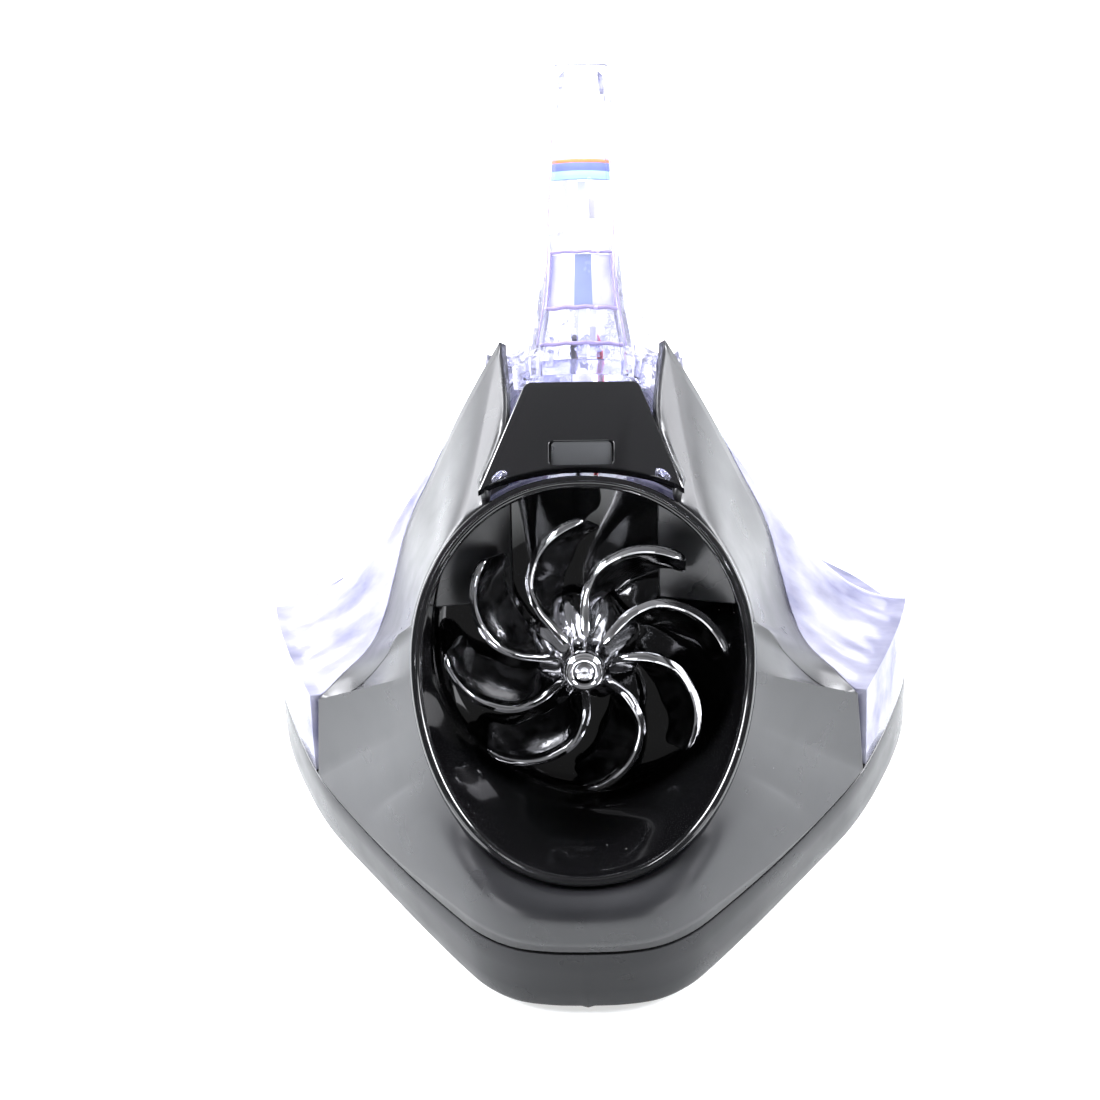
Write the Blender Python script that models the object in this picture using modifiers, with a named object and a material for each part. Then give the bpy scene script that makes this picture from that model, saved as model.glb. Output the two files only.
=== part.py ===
"""Wind-driven LED roof-fin lamp, built as an assembly of separate named pieces.

The working units are millimetres, turned into metres by point(). x runs to the lamp's left and right of
its centre plane, y runs back from the nose, and z runs up from the surface that the lamp is stuck to.
"""
import math

import bpy
import bmesh
from mathutils import Matrix, Vector

MM = 0.001
GAP = 0.3                      # clearance between neighbouring solids

# Overall size
LENGTH = 128.0
PARTING_Z = 12.0               # height of the seam between the tray and everything above it

# Half outline of the body at the seam, nose to tail, as (x, y)
NOSE_OUTLINE = [(0, 0), (5, 0.2), (10, 1.2), (14.4, 3.8), (18.4, 8.0), (26.3, 18.0), (33.6, 28.6)]
SIDE_OUTLINE = [(39.2, 38.2), (43.4, 49.5), (45.7, 58.5), (46, 65), (44.4, 73), (39.6, 79.6), (34, 84.6),
                (29, 90), (25.4, 97), (22.8, 105), (20.2, 113), (16.6, 120.4), (11.6, 125.6), (6, LENGTH)]

# Shell thicknesses
TRAY_WALL = 2.0
COWL_WALL = 1.6
LENS_WALL = 1.7
DUCT_WALL = 1.4
TAPE_THICK = 0.8
TRAY_FLOOR_Z = 1.1             # underside of the tray, just above the tape

# Air intake: an egg-shaped rim in a plane that leans back
RIM_LEAN = math.radians(43)
RIM_BASE = (4.2, 20.0)         # y and z of the rim's lowest outer point
RIM_HALF_WIDTH = 24.4
RIM_BELOW = 32.0               # from the rim's widest level down to its lowest point
RIM_ABOVE = 25.8               # and up to its highest point

# Fascia: middle of its foot and head
FASCIA_FOOT = Vector((0, 44.7, 62.3))
FASCIA_HEAD = Vector((0, 57.9, 67.5))
FASCIA_THICK = 1.5

# Turbine
ROTOR_CENTRE = Vector((0, 36.5, 35.0))
ROTOR_TILT = math.radians(22)
ROTOR_RADIUS = 20.3
BLADES = 8
BLADE_CHORD = 5.0              # front edge to rear edge, along the axis
BLADE_THICK = 0.9
CUP_RADIUS = 21.8
CUP_BACK = -8.2                # inner face of the duct's back wall, along the rotor axis
SHAFT_RADIUS = 1.0

# Generator, along the rotor axis
CAN_RADIUS = 10.0
CAN_WALL = 0.8
CAN_FRONT = -10.2
CAN_BACK = -30.0
MAGNET_INNER = 7.3
MAGNET_OUTER = 8.8
CORE_FRONT = -15.0
CORE_BACK = -24.0
POLES = 3
COIL_RADIUS = 0.65

# Inner side of the tray, and what stands on it
FLOOR_TOP = TRAY_FLOOR_Z + 2.0
BOARD_Z = 7.0                  # underside of the main board
BOARD_THICK = 1.6
BOARD_X = 12.0                 # the board's fixing points
BOARD_FRONT = 74.0
BOARD_REAR = 100.0
LED_BOARD_THICK = 1.2
TRAY_SCREWS = [(30.0, 34.0), (24.0, 84.0)]       # each on both sides
TRAY_HOLE_RADIUS = 1.7
SCREW_RADIUS = 1.3
HEAD_RADIUS = 2.6
COWL_BOSS = 22.2               # height of the cowl's screw posts, up into its wall
WING_BOSS = 7.8


# ---------------------------------------------------------------- small geometry helpers

def point(x, y, z):
    """Millimetres from the centre plane, behind the nose and above the ground, as metres."""
    return Vector((x, y - LENGTH / 2, z)) * MM


def axial(radius, turn, along):
    """A point in the rotor's frame: turn runs clockwise from straight up, seen from in front."""
    right = Vector((1, 0, 0))
    up = Vector((0, math.sin(ROTOR_TILT), math.cos(ROTOR_TILT)))
    ahead = Vector((0, -math.cos(ROTOR_TILT), math.sin(ROTOR_TILT)))
    p = ROTOR_CENTRE + radius * (math.sin(turn) * right + math.cos(turn) * up) + along * ahead
    return point(*p)


def rotor_matrix(along=0.0):
    """Places a shape whose own +Z is the rotor axis, pointing ahead."""
    ahead = Vector((0, -math.cos(ROTOR_TILT), math.sin(ROTOR_TILT)))
    return Matrix.Translation(axial(0, 0, along)) @ ahead.to_track_quat('Z', 'Y').to_matrix().to_4x4()


def smooth_path(keys, count):
    """A smooth curve through the key points, cut into equal lengths."""
    keys = [Vector(k) for k in keys]
    padded = [2 * keys[0] - keys[1]] + keys + [2 * keys[-1] - keys[-2]]
    dense = []
    for a, b, c, d in zip(padded, padded[1:], padded[2:], padded[3:]):
        for step in range(12):
            t = step / 12
            dense.append(0.5 * (2 * b + (c - a) * t + (2 * a - 5 * b + 4 * c - d) * t ** 2
                                + (3 * b - a - 3 * c + d) * t ** 3))
    dense.append(keys[-1])
    travelled = [0.0]
    for a, b in zip(dense, dense[1:]):
        travelled.append(travelled[-1] + (b - a).length)
    path, at = [], 0
    for i in range(count):
        goal = travelled[-1] * i / (count - 1)
        while at < len(dense) - 2 and travelled[at + 1] < goal:
            at += 1
        share = (goal - travelled[at]) / max(travelled[at + 1] - travelled[at], 1e-9)
        path.append(dense[at].lerp(dense[at + 1], min(share, 1.0)))
    return path


def value_at(keys, at):
    """A smooth curve of values over the keys (place, value), level at its ends."""
    if at <= keys[0][0]:
        return keys[0][1]
    for i in range(len(keys) - 1):
        (a, va), (b, vb) = keys[i], keys[i + 1]
        if at <= b:
            before = keys[max(i - 1, 0)]
            after = keys[min(i + 2, len(keys) - 1)]
            slope_a = (vb - before[1]) / (b - before[0])
            slope_b = (after[1] - va) / (after[0] - a)
            t = (at - a) / (b - a)
            return ((2 * t ** 3 - 3 * t ** 2 + 1) * va + (t ** 3 - 2 * t ** 2 + t) * (b - a) * slope_a
                    + (3 * t ** 2 - 2 * t ** 3) * vb + (t ** 3 - t ** 2) * (b - a) * slope_b)
    return keys[-1][1]


# ---------------------------------------------------------------- the body's shape

CREST_KEYS = [(38, 46), (49, 57), (60, 75), (67, 76.5), (75, 72.5), (90, 62), (105, 46), (118, 29), (LENGTH, 17)]
SHOULDER_KEYS = [(38, 26), (58, 26), (61, 25.4), (65, 22), (73, 15.6), (78, 14.5), (LENGTH, 14.3)]
WAIST_KEYS = [(60, 1.1), (75, 1.35), (88, 1.0), (LENGTH, 1.0)]      # how tightly the bell is drawn in
FIN_TOP_KEYS = [(58.6, 67.9), (66, 75.6), (76, 84.0), (86, 91.2), (93, 95.6), (95, 96), (96.6, 94.6), (97.6, 88),
                (99, 76), (103, 61), (110, 46), (119, 32), (LENGTH, 18.5)]
SEAM_KEYS = [(58, 10), (66, 12), (78, 12), (90, 10.5), (110, 7.5), (LENGTH, 3.5)]    # where the fin meets the wings
FIN_HALF_KEYS = [(58, 7.6), (62, 7.0), (66, 6.1), (71, 5.5), (77, 5.3), (86, 4.8), (95, 4.0), (110, 3.4), (LENGTH, 2.4)]


def half_width(y):
    return value_at([(py, px) for px, py in SIDE_OUTLINE], y)


def seam_share(y):
    return value_at(SEAM_KEYS, y) / half_width(y)


def skin_z(u, y):
    """Height of the bell-shaped body at a share u of its half width."""
    shoulder = value_at(SHOULDER_KEYS, y)
    crest = value_at(CREST_KEYS, y)
    swell = 0.5 + 0.5 * math.cos(math.pi * min(u, 1.0))
    return shoulder + (crest - shoulder) * swell ** value_at(WAIST_KEYS, y)


def rim_point(turn, grow=0.0, back=0.0):
    """On the rim: turn runs from the lowest point up the right side; back is behind the rim's plane."""
    rise = RIM_BELOW if math.cos(turn) > 0 else RIM_ABOVE
    across = (RIM_HALF_WIDTH + grow) * math.copysign(abs(math.sin(turn)) ** 0.93, math.sin(turn))
    up = RIM_BELOW - (rise + grow) * math.cos(turn)
    y = RIM_BASE[0] + up * math.sin(RIM_LEAN) + back * math.cos(RIM_LEAN)
    z = RIM_BASE[1] + up * math.cos(RIM_LEAN) - back * math.sin(RIM_LEAN)
    return Vector((across, y, z))


# The cowl's outer edge, as stations (angle on the rim in degrees, outer point)
COWL_STATIONS = [
    (0, (0, 0, PARTING_Z)), (14, (10, 1.2, PARTING_Z)), (24, (14.4, 3.8, PARTING_Z)), (33, (18.4, 8.0, PARTING_Z)),
    (48, (26.3, 18.0, PARTING_Z)), (62, (33.6, 28.6, PARTING_Z)), (74, (39.2, 38.2, PARTING_Z)),
    (80, (38.8, 38.4, 19)), (86, (38.4, 38.6, 26)), (92, (35.4, 41.4, 28)), (98, (31.6, 44.2, 30.4)),
    (104, (29.2, 48.6, 32.6)), (110, (27.7, 53.0, 36.4)), (117, (25.6, 57.0, 43.0)), (124, (22.0, 59.6, 50.0)),
    (129, (18.4, 61.6, 57.6)), (134, (15.0, 63.4, 63.8)), (138, (11.7, 65.6, 68.9)), (141, (11.1, 59.6, 67.2)),
    (143, (11.0, 53.6, 65.4)), (145, (12.6, 48.4, 63.0)), (147, (14.5, 43.9, 60.6)),
]


# ---------------------------------------------------------------- Blender helpers

COLLECTION = bpy.data.collections.new("roof_fin_lamp")

MATERIALS = {
    # colour, metallic, roughness
    "satin_black": ((0.035, 0.035, 0.04), 0.0, 0.42),
    "gloss_black": ((0.012, 0.012, 0.014), 0.0, 0.08),
    "clear_lens": ((0.86, 0.87, 0.96), 0.0, 0.05),
    "chrome": ((0.78, 0.78, 0.8), 1.0, 0.08),
    "steel": ((0.55, 0.55, 0.57), 1.0, 0.3),
    "zinc": ((0.62, 0.63, 0.65), 1.0, 0.35),
    "brass": ((0.75, 0.58, 0.25), 1.0, 0.3),
    "copper": ((0.72, 0.36, 0.18), 1.0, 0.35),
    "ferrite": ((0.07, 0.07, 0.075), 0.0, 0.6),
    "white_nylon": ((0.8, 0.8, 0.77), 0.0, 0.5),
    "green_board": ((0.03, 0.2, 0.08), 0.0, 0.4),
    "white_board": ((0.8, 0.81, 0.8), 0.0, 0.4),
    "component_black": ((0.03, 0.03, 0.03), 0.0, 0.5),
    "sleeve_blue": ((0.05, 0.08, 0.3), 0.0, 0.35),
    "led_clear": ((0.85, 0.85, 0.8), 0.0, 0.1),
    "wire_red": ((0.55, 0.03, 0.03), 0.0, 0.4),
    "wire_black": ((0.02, 0.02, 0.02), 0.0, 0.4),
    "foam_tape": ((0.75, 0.3, 0.1), 0.0, 0.8),
    "rubber": ((0.03, 0.03, 0.03), 0.0, 0.8),
}


def give_material(obj, kind):
    """Each object gets a Principled material of its own."""
    colour, metallic, roughness = MATERIALS[kind]
    material = bpy.data.materials.new(obj.name + "_" + kind)
    material.use_nodes = True
    shader = material.node_tree.nodes["Principled BSDF"]
    shader.inputs["Base Color"].default_value = (*colour, 1)
    shader.inputs["Metallic"].default_value = metallic
    shader.inputs["Roughness"].default_value = roughness
    obj.data.materials.clear()
    obj.data.materials.append(material)


def keep(obj, kind):
    """Puts a finished piece in the lamp's collection."""
    for collection in list(obj.users_collection):
        collection.objects.unlink(obj)
    COLLECTION.objects.link(obj)
    give_material(obj, kind)
    return obj


def mesh_object(name, points, faces):
    mesh = bpy.data.meshes.new(name)
    mesh.from_pydata([tuple(p) for p in points], [], faces)
    obj = bpy.data.objects.new(name, mesh)
    COLLECTION.objects.link(obj)
    return obj


def outward(obj):
    """Points every face of a closed mesh out."""
    work = bmesh.new()
    work.from_mesh(obj.data)
    bmesh.ops.remove_doubles(work, verts=work.verts, dist=0.00001)
    bmesh.ops.recalc_face_normals(work, faces=work.faces)
    work.to_mesh(obj.data)
    work.free()
    return obj


def grid_faces(rows, columns, closed=False):
    """Quads between neighbouring rows of points; closed joins each row's end to its start."""
    wide = columns if closed else columns - 1
    faces = []
    for r in range(rows - 1):
        for c in range(wide):
            after = (c + 1) % columns
            faces.append((r * columns + c, r * columns + after, (r + 1) * columns + after, (r + 1) * columns + c))
    return faces


def skin(name, rows, wall, closed=False, flip=False):
    """An open surface through rows of millimetre points, thickened away from its outer face."""
    columns = len(rows[0])
    faces = grid_faces(len(rows), columns, closed)
    if flip:
        faces = [face[::-1] for face in faces]
    obj = mesh_object(name, [point(*p) for row in rows for p in row], faces)
    work = bmesh.new()
    work.from_mesh(obj.data)
    bmesh.ops.remove_doubles(work, verts=work.verts, dist=0.00002)
    work.to_mesh(obj.data)
    work.free()
    thick = obj.modifiers.new("wall", 'SOLIDIFY')
    thick.thickness = wall * MM
    thick.offset = -1
    return obj


def solid_loft(name, rings):
    """A closed solid through rings of millimetre points, capped at both ends."""
    columns = len(rings[0])
    faces = grid_faces(len(rings), columns, closed=True)
    faces.append(tuple(range(columns)))
    faces.append(tuple(range((len(rings) - 1) * columns, len(rings) * columns)))
    return outward(mesh_object(name, [point(*p) for ring in rings for p in ring], faces))


def bake(obj):
    """Applies an object's modifiers."""
    evaluated = obj.evaluated_get(bpy.context.evaluated_depsgraph_get())
    mesh = bpy.data.meshes.new_from_object(evaluated)
    obj.modifiers.clear()
    obj.data = mesh
    return obj


def triangulate(obj):
    """Splits every face, so that a mirrored copy has the same flat faces."""
    work = bmesh.new()
    work.from_mesh(obj.data)
    bmesh.ops.triangulate(work, faces=work.faces, quad_method='SHORT_EDGE')
    work.to_mesh(obj.data)
    work.free()
    return obj


def combine(target, other, operation, untangle=False):
    """Joins or cuts target with other, which is used up; untangle also merges walls that cross each other."""
    bpy.context.view_layer.update()
    step = target.modifiers.new("step", 'BOOLEAN')
    step.operation = operation
    step.solver = 'EXACT'
    step.use_self = untangle
    step.object = other
    bpy.context.view_layer.update()
    bake(target)
    bpy.data.objects.remove(other)
    return target


def cylinder(name, radius, depth, matrix, sides=24, radius2=None):
    """A cylinder or cone whose base lies at the matrix's origin and which rises along its +Z."""
    mesh = bpy.data.meshes.new(name)
    work = bmesh.new()
    bmesh.ops.create_cone(work, cap_ends=True, segments=sides, radius1=radius * MM,
                          radius2=(radius if radius2 is None else radius2) * MM, depth=depth * MM)
    bmesh.ops.translate(work, verts=work.verts, vec=(0, 0, depth * MM / 2))
    work.to_mesh(mesh)
    work.free()
    obj = bpy.data.objects.new(name, mesh)
    obj.matrix_world = matrix
    COLLECTION.objects.link(obj)
    return obj


def upright(x, y, z):
    return Matrix.Translation(point(x, y, z))


def block(name, size, centre, rotation=None):
    mesh = bpy.data.meshes.new(name)
    work = bmesh.new()
    bmesh.ops.create_cube(work, size=1)
    bmesh.ops.scale(work, vec=Vector(size) * MM, verts=work.verts)
    work.to_mesh(mesh)
    work.free()
    obj = bpy.data.objects.new(name, mesh)
    obj.matrix_world = Matrix.Translation(point(*centre)) @ (rotation or Matrix())
    COLLECTION.objects.link(obj)
    return obj


def soften(obj, width):
    """Rounds the edges of a block or plate."""
    bevel = obj.modifiers.new("edges", 'BEVEL')
    bevel.width = width * MM
    bevel.segments = 2
    return obj


def turned(name, profile, matrix, sides=24):
    """A turned solid: the profile (radius, height) runs down the outer side and closes on itself or on the axis."""
    closed = profile[0][0] > 0.001
    mesh = bpy.data.meshes.new(name)
    edges = [(i, i + 1) for i in range(len(profile) - 1)]
    if closed:
        edges.append((len(profile) - 1, 0))
    mesh.from_pydata([(r * MM, 0, h * MM) for r, h in profile], edges, [])
    obj = bpy.data.objects.new(name, mesh)
    COLLECTION.objects.link(obj)
    obj.matrix_world = matrix
    turn = obj.modifiers.new("turn", 'SCREW')
    turn.steps = sides
    turn.render_steps = sides
    turn.use_merge_vertices = True
    turn.merge_threshold = 0.00001
    return obj


def ring(name, outer, inner, depth, matrix, sides=24):
    return turned(name, [(outer, depth), (outer, 0), (inner, 0), (inner, depth)], matrix, sides)


def plate(name, outline, thick, matrix):
    """A flat outline in millimetres, extruded half its thickness each way."""
    curve = bpy.data.curves.new(name, 'CURVE')
    curve.dimensions = '2D'
    curve.fill_mode = 'BOTH'
    curve.extrude = thick * MM / 2
    spline = curve.splines.new('POLY')
    spline.points.add(len(outline) - 1)
    for spot, (x, y) in zip(spline.points, outline):
        spot.co = (x * MM, y * MM, 0, 1)
    spline.use_cyclic_u = True
    guide = bpy.data.objects.new(name + "_outline", curve)
    COLLECTION.objects.link(guide)
    guide.matrix_world = matrix
    return meshed(guide, name)


def meshed(guide, name):
    """Turns a curve object into a mesh with welded caps."""
    bpy.context.view_layer.update()
    mesh = bpy.data.meshes.new_from_object(guide.evaluated_get(bpy.context.evaluated_depsgraph_get()))
    obj = bpy.data.objects.new(name, mesh)
    COLLECTION.objects.link(obj)
    obj.matrix_world = guide.matrix_world.copy()
    bpy.data.objects.remove(guide)
    return outward(obj)


def wire(name, keys, radius=0.55, count=14, cyclic=False, resolution=1):
    """A round wire on a smooth route through the key points."""
    curve = bpy.data.curves.new(name, 'CURVE')
    curve.dimensions = '3D'
    curve.bevel_depth = radius * MM
    curve.bevel_resolution = resolution
    curve.use_fill_caps = True
    route = keys if cyclic else smooth_path(keys, count)
    spline = curve.splines.new('POLY')
    spline.points.add(len(route) - 1)
    for spot, p in zip(spline.points, route):
        spot.co = (*point(*p), 1)
    spline.use_cyclic_u = cyclic
    guide = bpy.data.objects.new(name + "_route", curve)
    COLLECTION.objects.link(guide)
    return meshed(guide, name)


# ---------------------------------------------------------------- housing

def outline_half(count=28):
    """Half outline at the seam, nose to tail, as (x, y)."""
    return [Vector((x, y)) for x, y in
            ((p.x, p.y) for p in smooth_path([(x, y, 0) for x, y in NOSE_OUTLINE + SIDE_OUTLINE], count))]


def full_ring(half, z, inset=0.0, tuck=0.0):
    """The whole outline at a height, moved in square to itself; tuck moves the front sides in further."""
    moved = []
    for i, p in enumerate(half):
        along = (half[min(i + 1, len(half) - 1)] - half[max(i - 1, 0)]).normalized()
        inward = Vector((-along.y, along.x))
        undercut = tuck * math.exp(-((p.y - 24) / 20) ** 2)
        q = p + inward * (inset + undercut)
        if i == 0:
            q = Vector((0, p.y + inset))
        if i == len(half) - 1:
            q = Vector((p.x - 0.35 * inset, p.y - inset))
        moved.append(q)
    right = [(q.x, q.y, z) for q in moved]
    left = [(-q.x, q.y, z) for q in reversed(moved[1:])]
    return right + left


def both_sides(places):
    return [(side * x, y) for x, y in places for side in (-1, 1)]


def build_tray():
    half = outline_half()
    top = PARTING_Z - GAP / 2
    tray = solid_loft("base_tray", [
        full_ring(half, TRAY_FLOOR_Z, 0.9, 1.5), full_ring(half, TRAY_FLOOR_Z + 1.0, 0.3, 1.3),
        full_ring(half, top), full_ring(half, top, TRAY_WALL), full_ring(half, FLOOR_TOP, TRAY_WALL + 0.3, 1.3)])
    for x, y in both_sides([(BOARD_X, BOARD_FRONT), (BOARD_X, BOARD_REAR)]):
        post = cylinder("post", 2.4, BOARD_Z - GAP - FLOOR_TOP + 0.5, upright(x, y, FLOOR_TOP - 0.5), 16)
        combine(tray, post, 'UNION')
    for x, y in both_sides(TRAY_SCREWS):
        combine(tray, cylinder("hole", TRAY_HOLE_RADIUS, 6, upright(x, y, -1), 16), 'DIFFERENCE')
        combine(tray, cylinder("sink", HEAD_RADIUS + 0.4, 2.4, upright(x, y, 0.2), 16), 'DIFFERENCE')
    for x, y in [(-BOARD_X, BOARD_FRONT), (BOARD_X, BOARD_REAR)]:
        combine(tray, cylinder("pilot", 1.2, 6, upright(x, y, FLOOR_TOP + 0.4), 12), 'DIFFERENCE')
    keep(tray, "satin_black")


def build_tape():
    half = outline_half(22)
    rings = [full_ring(half, z, 2.6, 1.3) for z in (0, TAPE_THICK)]
    keep(solid_loft("tape_pad", rings), "foam_tape")


def build_tray_screws():
    for number, (x, y) in enumerate(both_sides(TRAY_SCREWS), 1):
        place = upright(x, y, 0)
        low = TRAY_FLOOR_Z + 0.1
        screw = turned("tray_screw_%d" % number, [
            (0, 14.5), (0.5, 14.3), (SCREW_RADIUS, 13.0), (SCREW_RADIUS, low + 1.1), (HEAD_RADIUS, low + 0.7),
            (HEAD_RADIUS, low), (0, low)], place, 16)
        keep(screw, "zinc")


def cowl_rows(steps, across):
    """Rows from the rim outward; each row runs from the nose up to the fascia."""
    rows = []
    stations = []
    for i in range(len(COWL_STATIONS) - 1):
        for part in range(steps):
            stations.append(i + part / steps)
    stations.append(len(COWL_STATIONS) - 1)
    for r in range(across + 1):
        share = r / across
        row = []
        for s in stations:
            low = min(int(s), len(COWL_STATIONS) - 2)
            mix = s - low
            turn = math.radians(COWL_STATIONS[low][0] * (1 - mix) + COWL_STATIONS[low + 1][0] * mix)
            outer = Vector(COWL_STATIONS[low][1]).lerp(Vector(COWL_STATIONS[low + 1][1]), mix)
            outer.z = max(outer.z, PARTING_Z + GAP / 2)
            inner = rim_point(turn, grow=GAP + 0.1, back=1.2)
            row.append(inner.lerp(outer, share))
        rows.append(row)
    return rows


def build_cowl():
    rows = cowl_rows(1, 5)
    full = [[Vector((-p.x, p.y, p.z)) for p in reversed(row[1:])] + row for row in rows]
    cowl = skin("front_cowl", full, COWL_WALL, flip=True)
    bake(cowl)
    grow = DUCT_WALL + 1.5 * GAP
    ahead = [rim_point(2 * math.pi * i / 40, grow=GAP, back=-4) for i in range(40)]
    combine(cowl, solid_loft("duct_space", [ahead] + duct_rings(40, grow)), 'DIFFERENCE')
    combine(cowl, fascia_plate("panel_space", GAP, 9, 0), 'DIFFERENCE')
    combine(cowl, block("below", (120, 120, 20), (0, 30, PARTING_Z + GAP / 2 - 10)), 'DIFFERENCE')
    for side in (-1, 1):
        x, y = TRAY_SCREWS[0]
        boss = cylinder("boss", 3.2, COWL_BOSS, upright(side * x, y, PARTING_Z + GAP), 16, radius2=0.7)
        combine(cowl, boss, 'UNION')
        combine(cowl, cylinder("pilot", SCREW_RADIUS + GAP, 6, upright(side * x, y, PARTING_Z - 1), 16), 'DIFFERENCE')
    keep(cowl, "satin_black")


def cup_ring(radius, along, turns):
    """A circle about the rotor axis, numbered like the rim."""
    start = point(0, 0, 0)
    return [(axial(radius, math.pi - t, along) - start) / MM for t in turns]


def duct_rings(sides, grow=0.0):
    """Inner surface of the duct, or one grown around it: egg rim, then round cup."""
    turns = [2 * math.pi * i / sides for i in range(sides)]
    rim = [rim_point(t, grow=grow - DUCT_WALL) for t in turns]
    lip = [rim_point(t, grow=grow - DUCT_WALL - 0.2, back=1.5) for t in turns]
    mouth = cup_ring(CUP_RADIUS + grow, 0.8, turns)
    rings = [rim, lip] + [[a.lerp(b, share) for a, b in zip(lip, mouth)] for share in (0.35, 0.7)]
    return rings + [mouth, cup_ring(CUP_RADIUS + grow, -4.0, turns)]


def duct_back(sides):
    """The rounded back of the cup and its flat wall, open round the shaft."""
    turns = [2 * math.pi * i / sides for i in range(sides)]
    steps = [(CUP_RADIUS - 0.3, CUP_BACK + 1.2), (CUP_RADIUS - 1.6, CUP_BACK), (4.0, CUP_BACK)]
    return [cup_ring(radius, along, turns) for radius, along in steps]


def build_duct():
    duct = skin("intake_duct", duct_rings(40) + duct_back(40), DUCT_WALL, closed=True)
    keep(duct, "gloss_black")


def fascia_matrix(along, above):
    """A frame on the fascia: y runs up its slope, z stands square to its outer face."""
    slope = (FASCIA_HEAD - FASCIA_FOOT).normalized()
    square = Vector((0, -slope.z, slope.y))
    turn = Matrix((Vector((1, 0, 0)), slope, square)).transposed().to_4x4()
    return Matrix.Translation(point(*(FASCIA_FOOT + slope * along + square * above))) @ turn


def fascia_plate(name, grow, thick, above):
    """The fascia's outline: a trapezoid whose foot follows the rim."""
    head = (FASCIA_HEAD - FASCIA_FOOT).length + grow
    right = [(0, -grow), (5, -0.4 - grow), (9, -1.25 - grow), (12, -2.3 - grow), (14.3 + grow, -3.6 - grow),
             (8.4 + grow, head - 1.0), (7.5 + grow, head)]
    return plate(name, right + [(-x, y) for x, y in right[:0:-1]], thick, fascia_matrix(0, above))


def build_fascia():
    """The gloss panel above the rim, with its small recess."""
    panel = fascia_plate("fascia_panel", 0, FASCIA_THICK, -FASCIA_THICK / 2)
    recess = block("recess", (9.5, 4.2, 1.2), (0, 0, 0))
    recess.matrix_world = fascia_matrix(3.2, 0)
    keep(combine(panel, recess, 'DIFFERENCE'), "gloss_black")


# ---------------------------------------------------------------- clear lenses

def wing_front(share):
    """Front edge of a wing, from beside the fin to the cowl's corner."""
    edge = [Vector(p) for _, p in COWL_STATIONS[8:18]][::-1]
    return smooth_path(edge, 41)[round(share * 40)]


def wing_rows(across, along):
    rows = []
    for i in range(along + 1):
        back = i / along
        row = []
        for j in range(across + 1):
            front = wing_front(j / across)
            y0 = front.y + 0.5 + (0.3 if j == across else 0)
            y = y0 + (LENGTH - 1.2 - y0) * back
            start_u = min(front.x / half_width(front.y), 1.0)
            end_u = seam_share(y) + (1 - seam_share(y)) * j / across
            u = start_u + (end_u - start_u) * min(back * 2.2, 1) if j < across else 1.0
            x = u * half_width(y)
            if j == 0:
                x = value_at(SEAM_KEYS, y) + GAP
            z = skin_z(x / half_width(y), y)
            if back == 0:
                z = min(z, front.z)
            row.append(Vector((x, y, z)))
        row.insert(0, row[0] - Vector((0, 0, min(2.2, row[0].z - PARTING_Z - GAP))))
        edge = row[-1]
        row += [Vector((edge.x, edge.y, edge.z + (PARTING_Z + GAP / 2 - edge.z) * drop)) for drop in (0.5, 1)]
        rows.append(row)
    return rows


def build_wings():
    right = bake(skin("wing_lens_right", wing_rows(10, 12), LENS_WALL))
    x, y = TRAY_SCREWS[1]
    boss = cylinder("boss", 3.2, WING_BOSS, upright(x, y, PARTING_Z + GAP), 16, radius2=0.8)
    combine(right, boss, 'UNION', untangle=True)
    combine(right, cylinder("pilot", SCREW_RADIUS + GAP, 6, upright(x, y, PARTING_Z - 1), 16), 'DIFFERENCE')
    triangulate(right)
    left = bpy.data.objects.new("wing_lens_left", right.data.copy())
    COLLECTION.objects.link(left)
    left.data.transform(Matrix.Diagonal((-1, 1, 1, 1)))
    left.data.flip_normals()
    keep(left, "clear_lens")
    keep(right, "clear_lens")


def fin_rows():
    """Cross sections of the fin and its flared root, nose to tail."""
    rows = []
    for y in (58.8, 62, 66, 67.4, 71, 76, 81, 86, 90, 93, 95, 96.6, 98.2, 100, 104, 110, 117, 123, LENGTH - 1.2):
        top = value_at(FIN_TOP_KEYS, y)
        seam = value_at(SEAM_KEYS, y) - GAP
        low = skin_z(seam_share(y), y)
        if y <= 66:
            seam = min(seam, 9.6 + (y - 58.8) * 0.1)
            low = min(low, 66.9 + (y - 58.8) * 0.3)
        thin = min(value_at(FIN_HALF_KEYS, y), seam * 0.74)
        wide = min(thin + min(0.15 * max(top - low, 0), 4.2), seam * 0.86)
        root = min(low + 1.5, top - 0.6)
        half = [(0, top), (thin * 0.7, top - 0.1), (thin, top - min(0.6, (top - root) / 3)),
                ((thin + wide) / 2, (top + root) / 2), (wide, root + 0.35 * (top - root) * 0.3),
                ((wide + seam) / 2, low + 0.35 * (root - low)), (seam, low), (seam, low - 1.6)]
        row = [Vector((-x, y, z)) for x, z in reversed(half[1:])] + [Vector((x, y, z)) for x, z in half]
        rows.append(row)
    return rows


def build_fin():
    fin = skin("fin_lens", fin_rows(), LENS_WALL, flip=False)
    keep(fin, "clear_lens")


# ---------------------------------------------------------------- turbine

SWEEP_KEYS = [(2.6, 0), (8.4, 0), (10.4, 2.5), (12.9, 7.5), (15.0, 15), (17.4, 25.5), (19.0, 35), (ROTOR_RADIUS, 45)]
SCOOP_KEYS = [(2.6, 0.3), (8.4, 2.4), (12.0, 4.4), (15.0, 5.2), (17.5, 4.3), (ROTOR_RADIUS, 2.5)]


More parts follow.
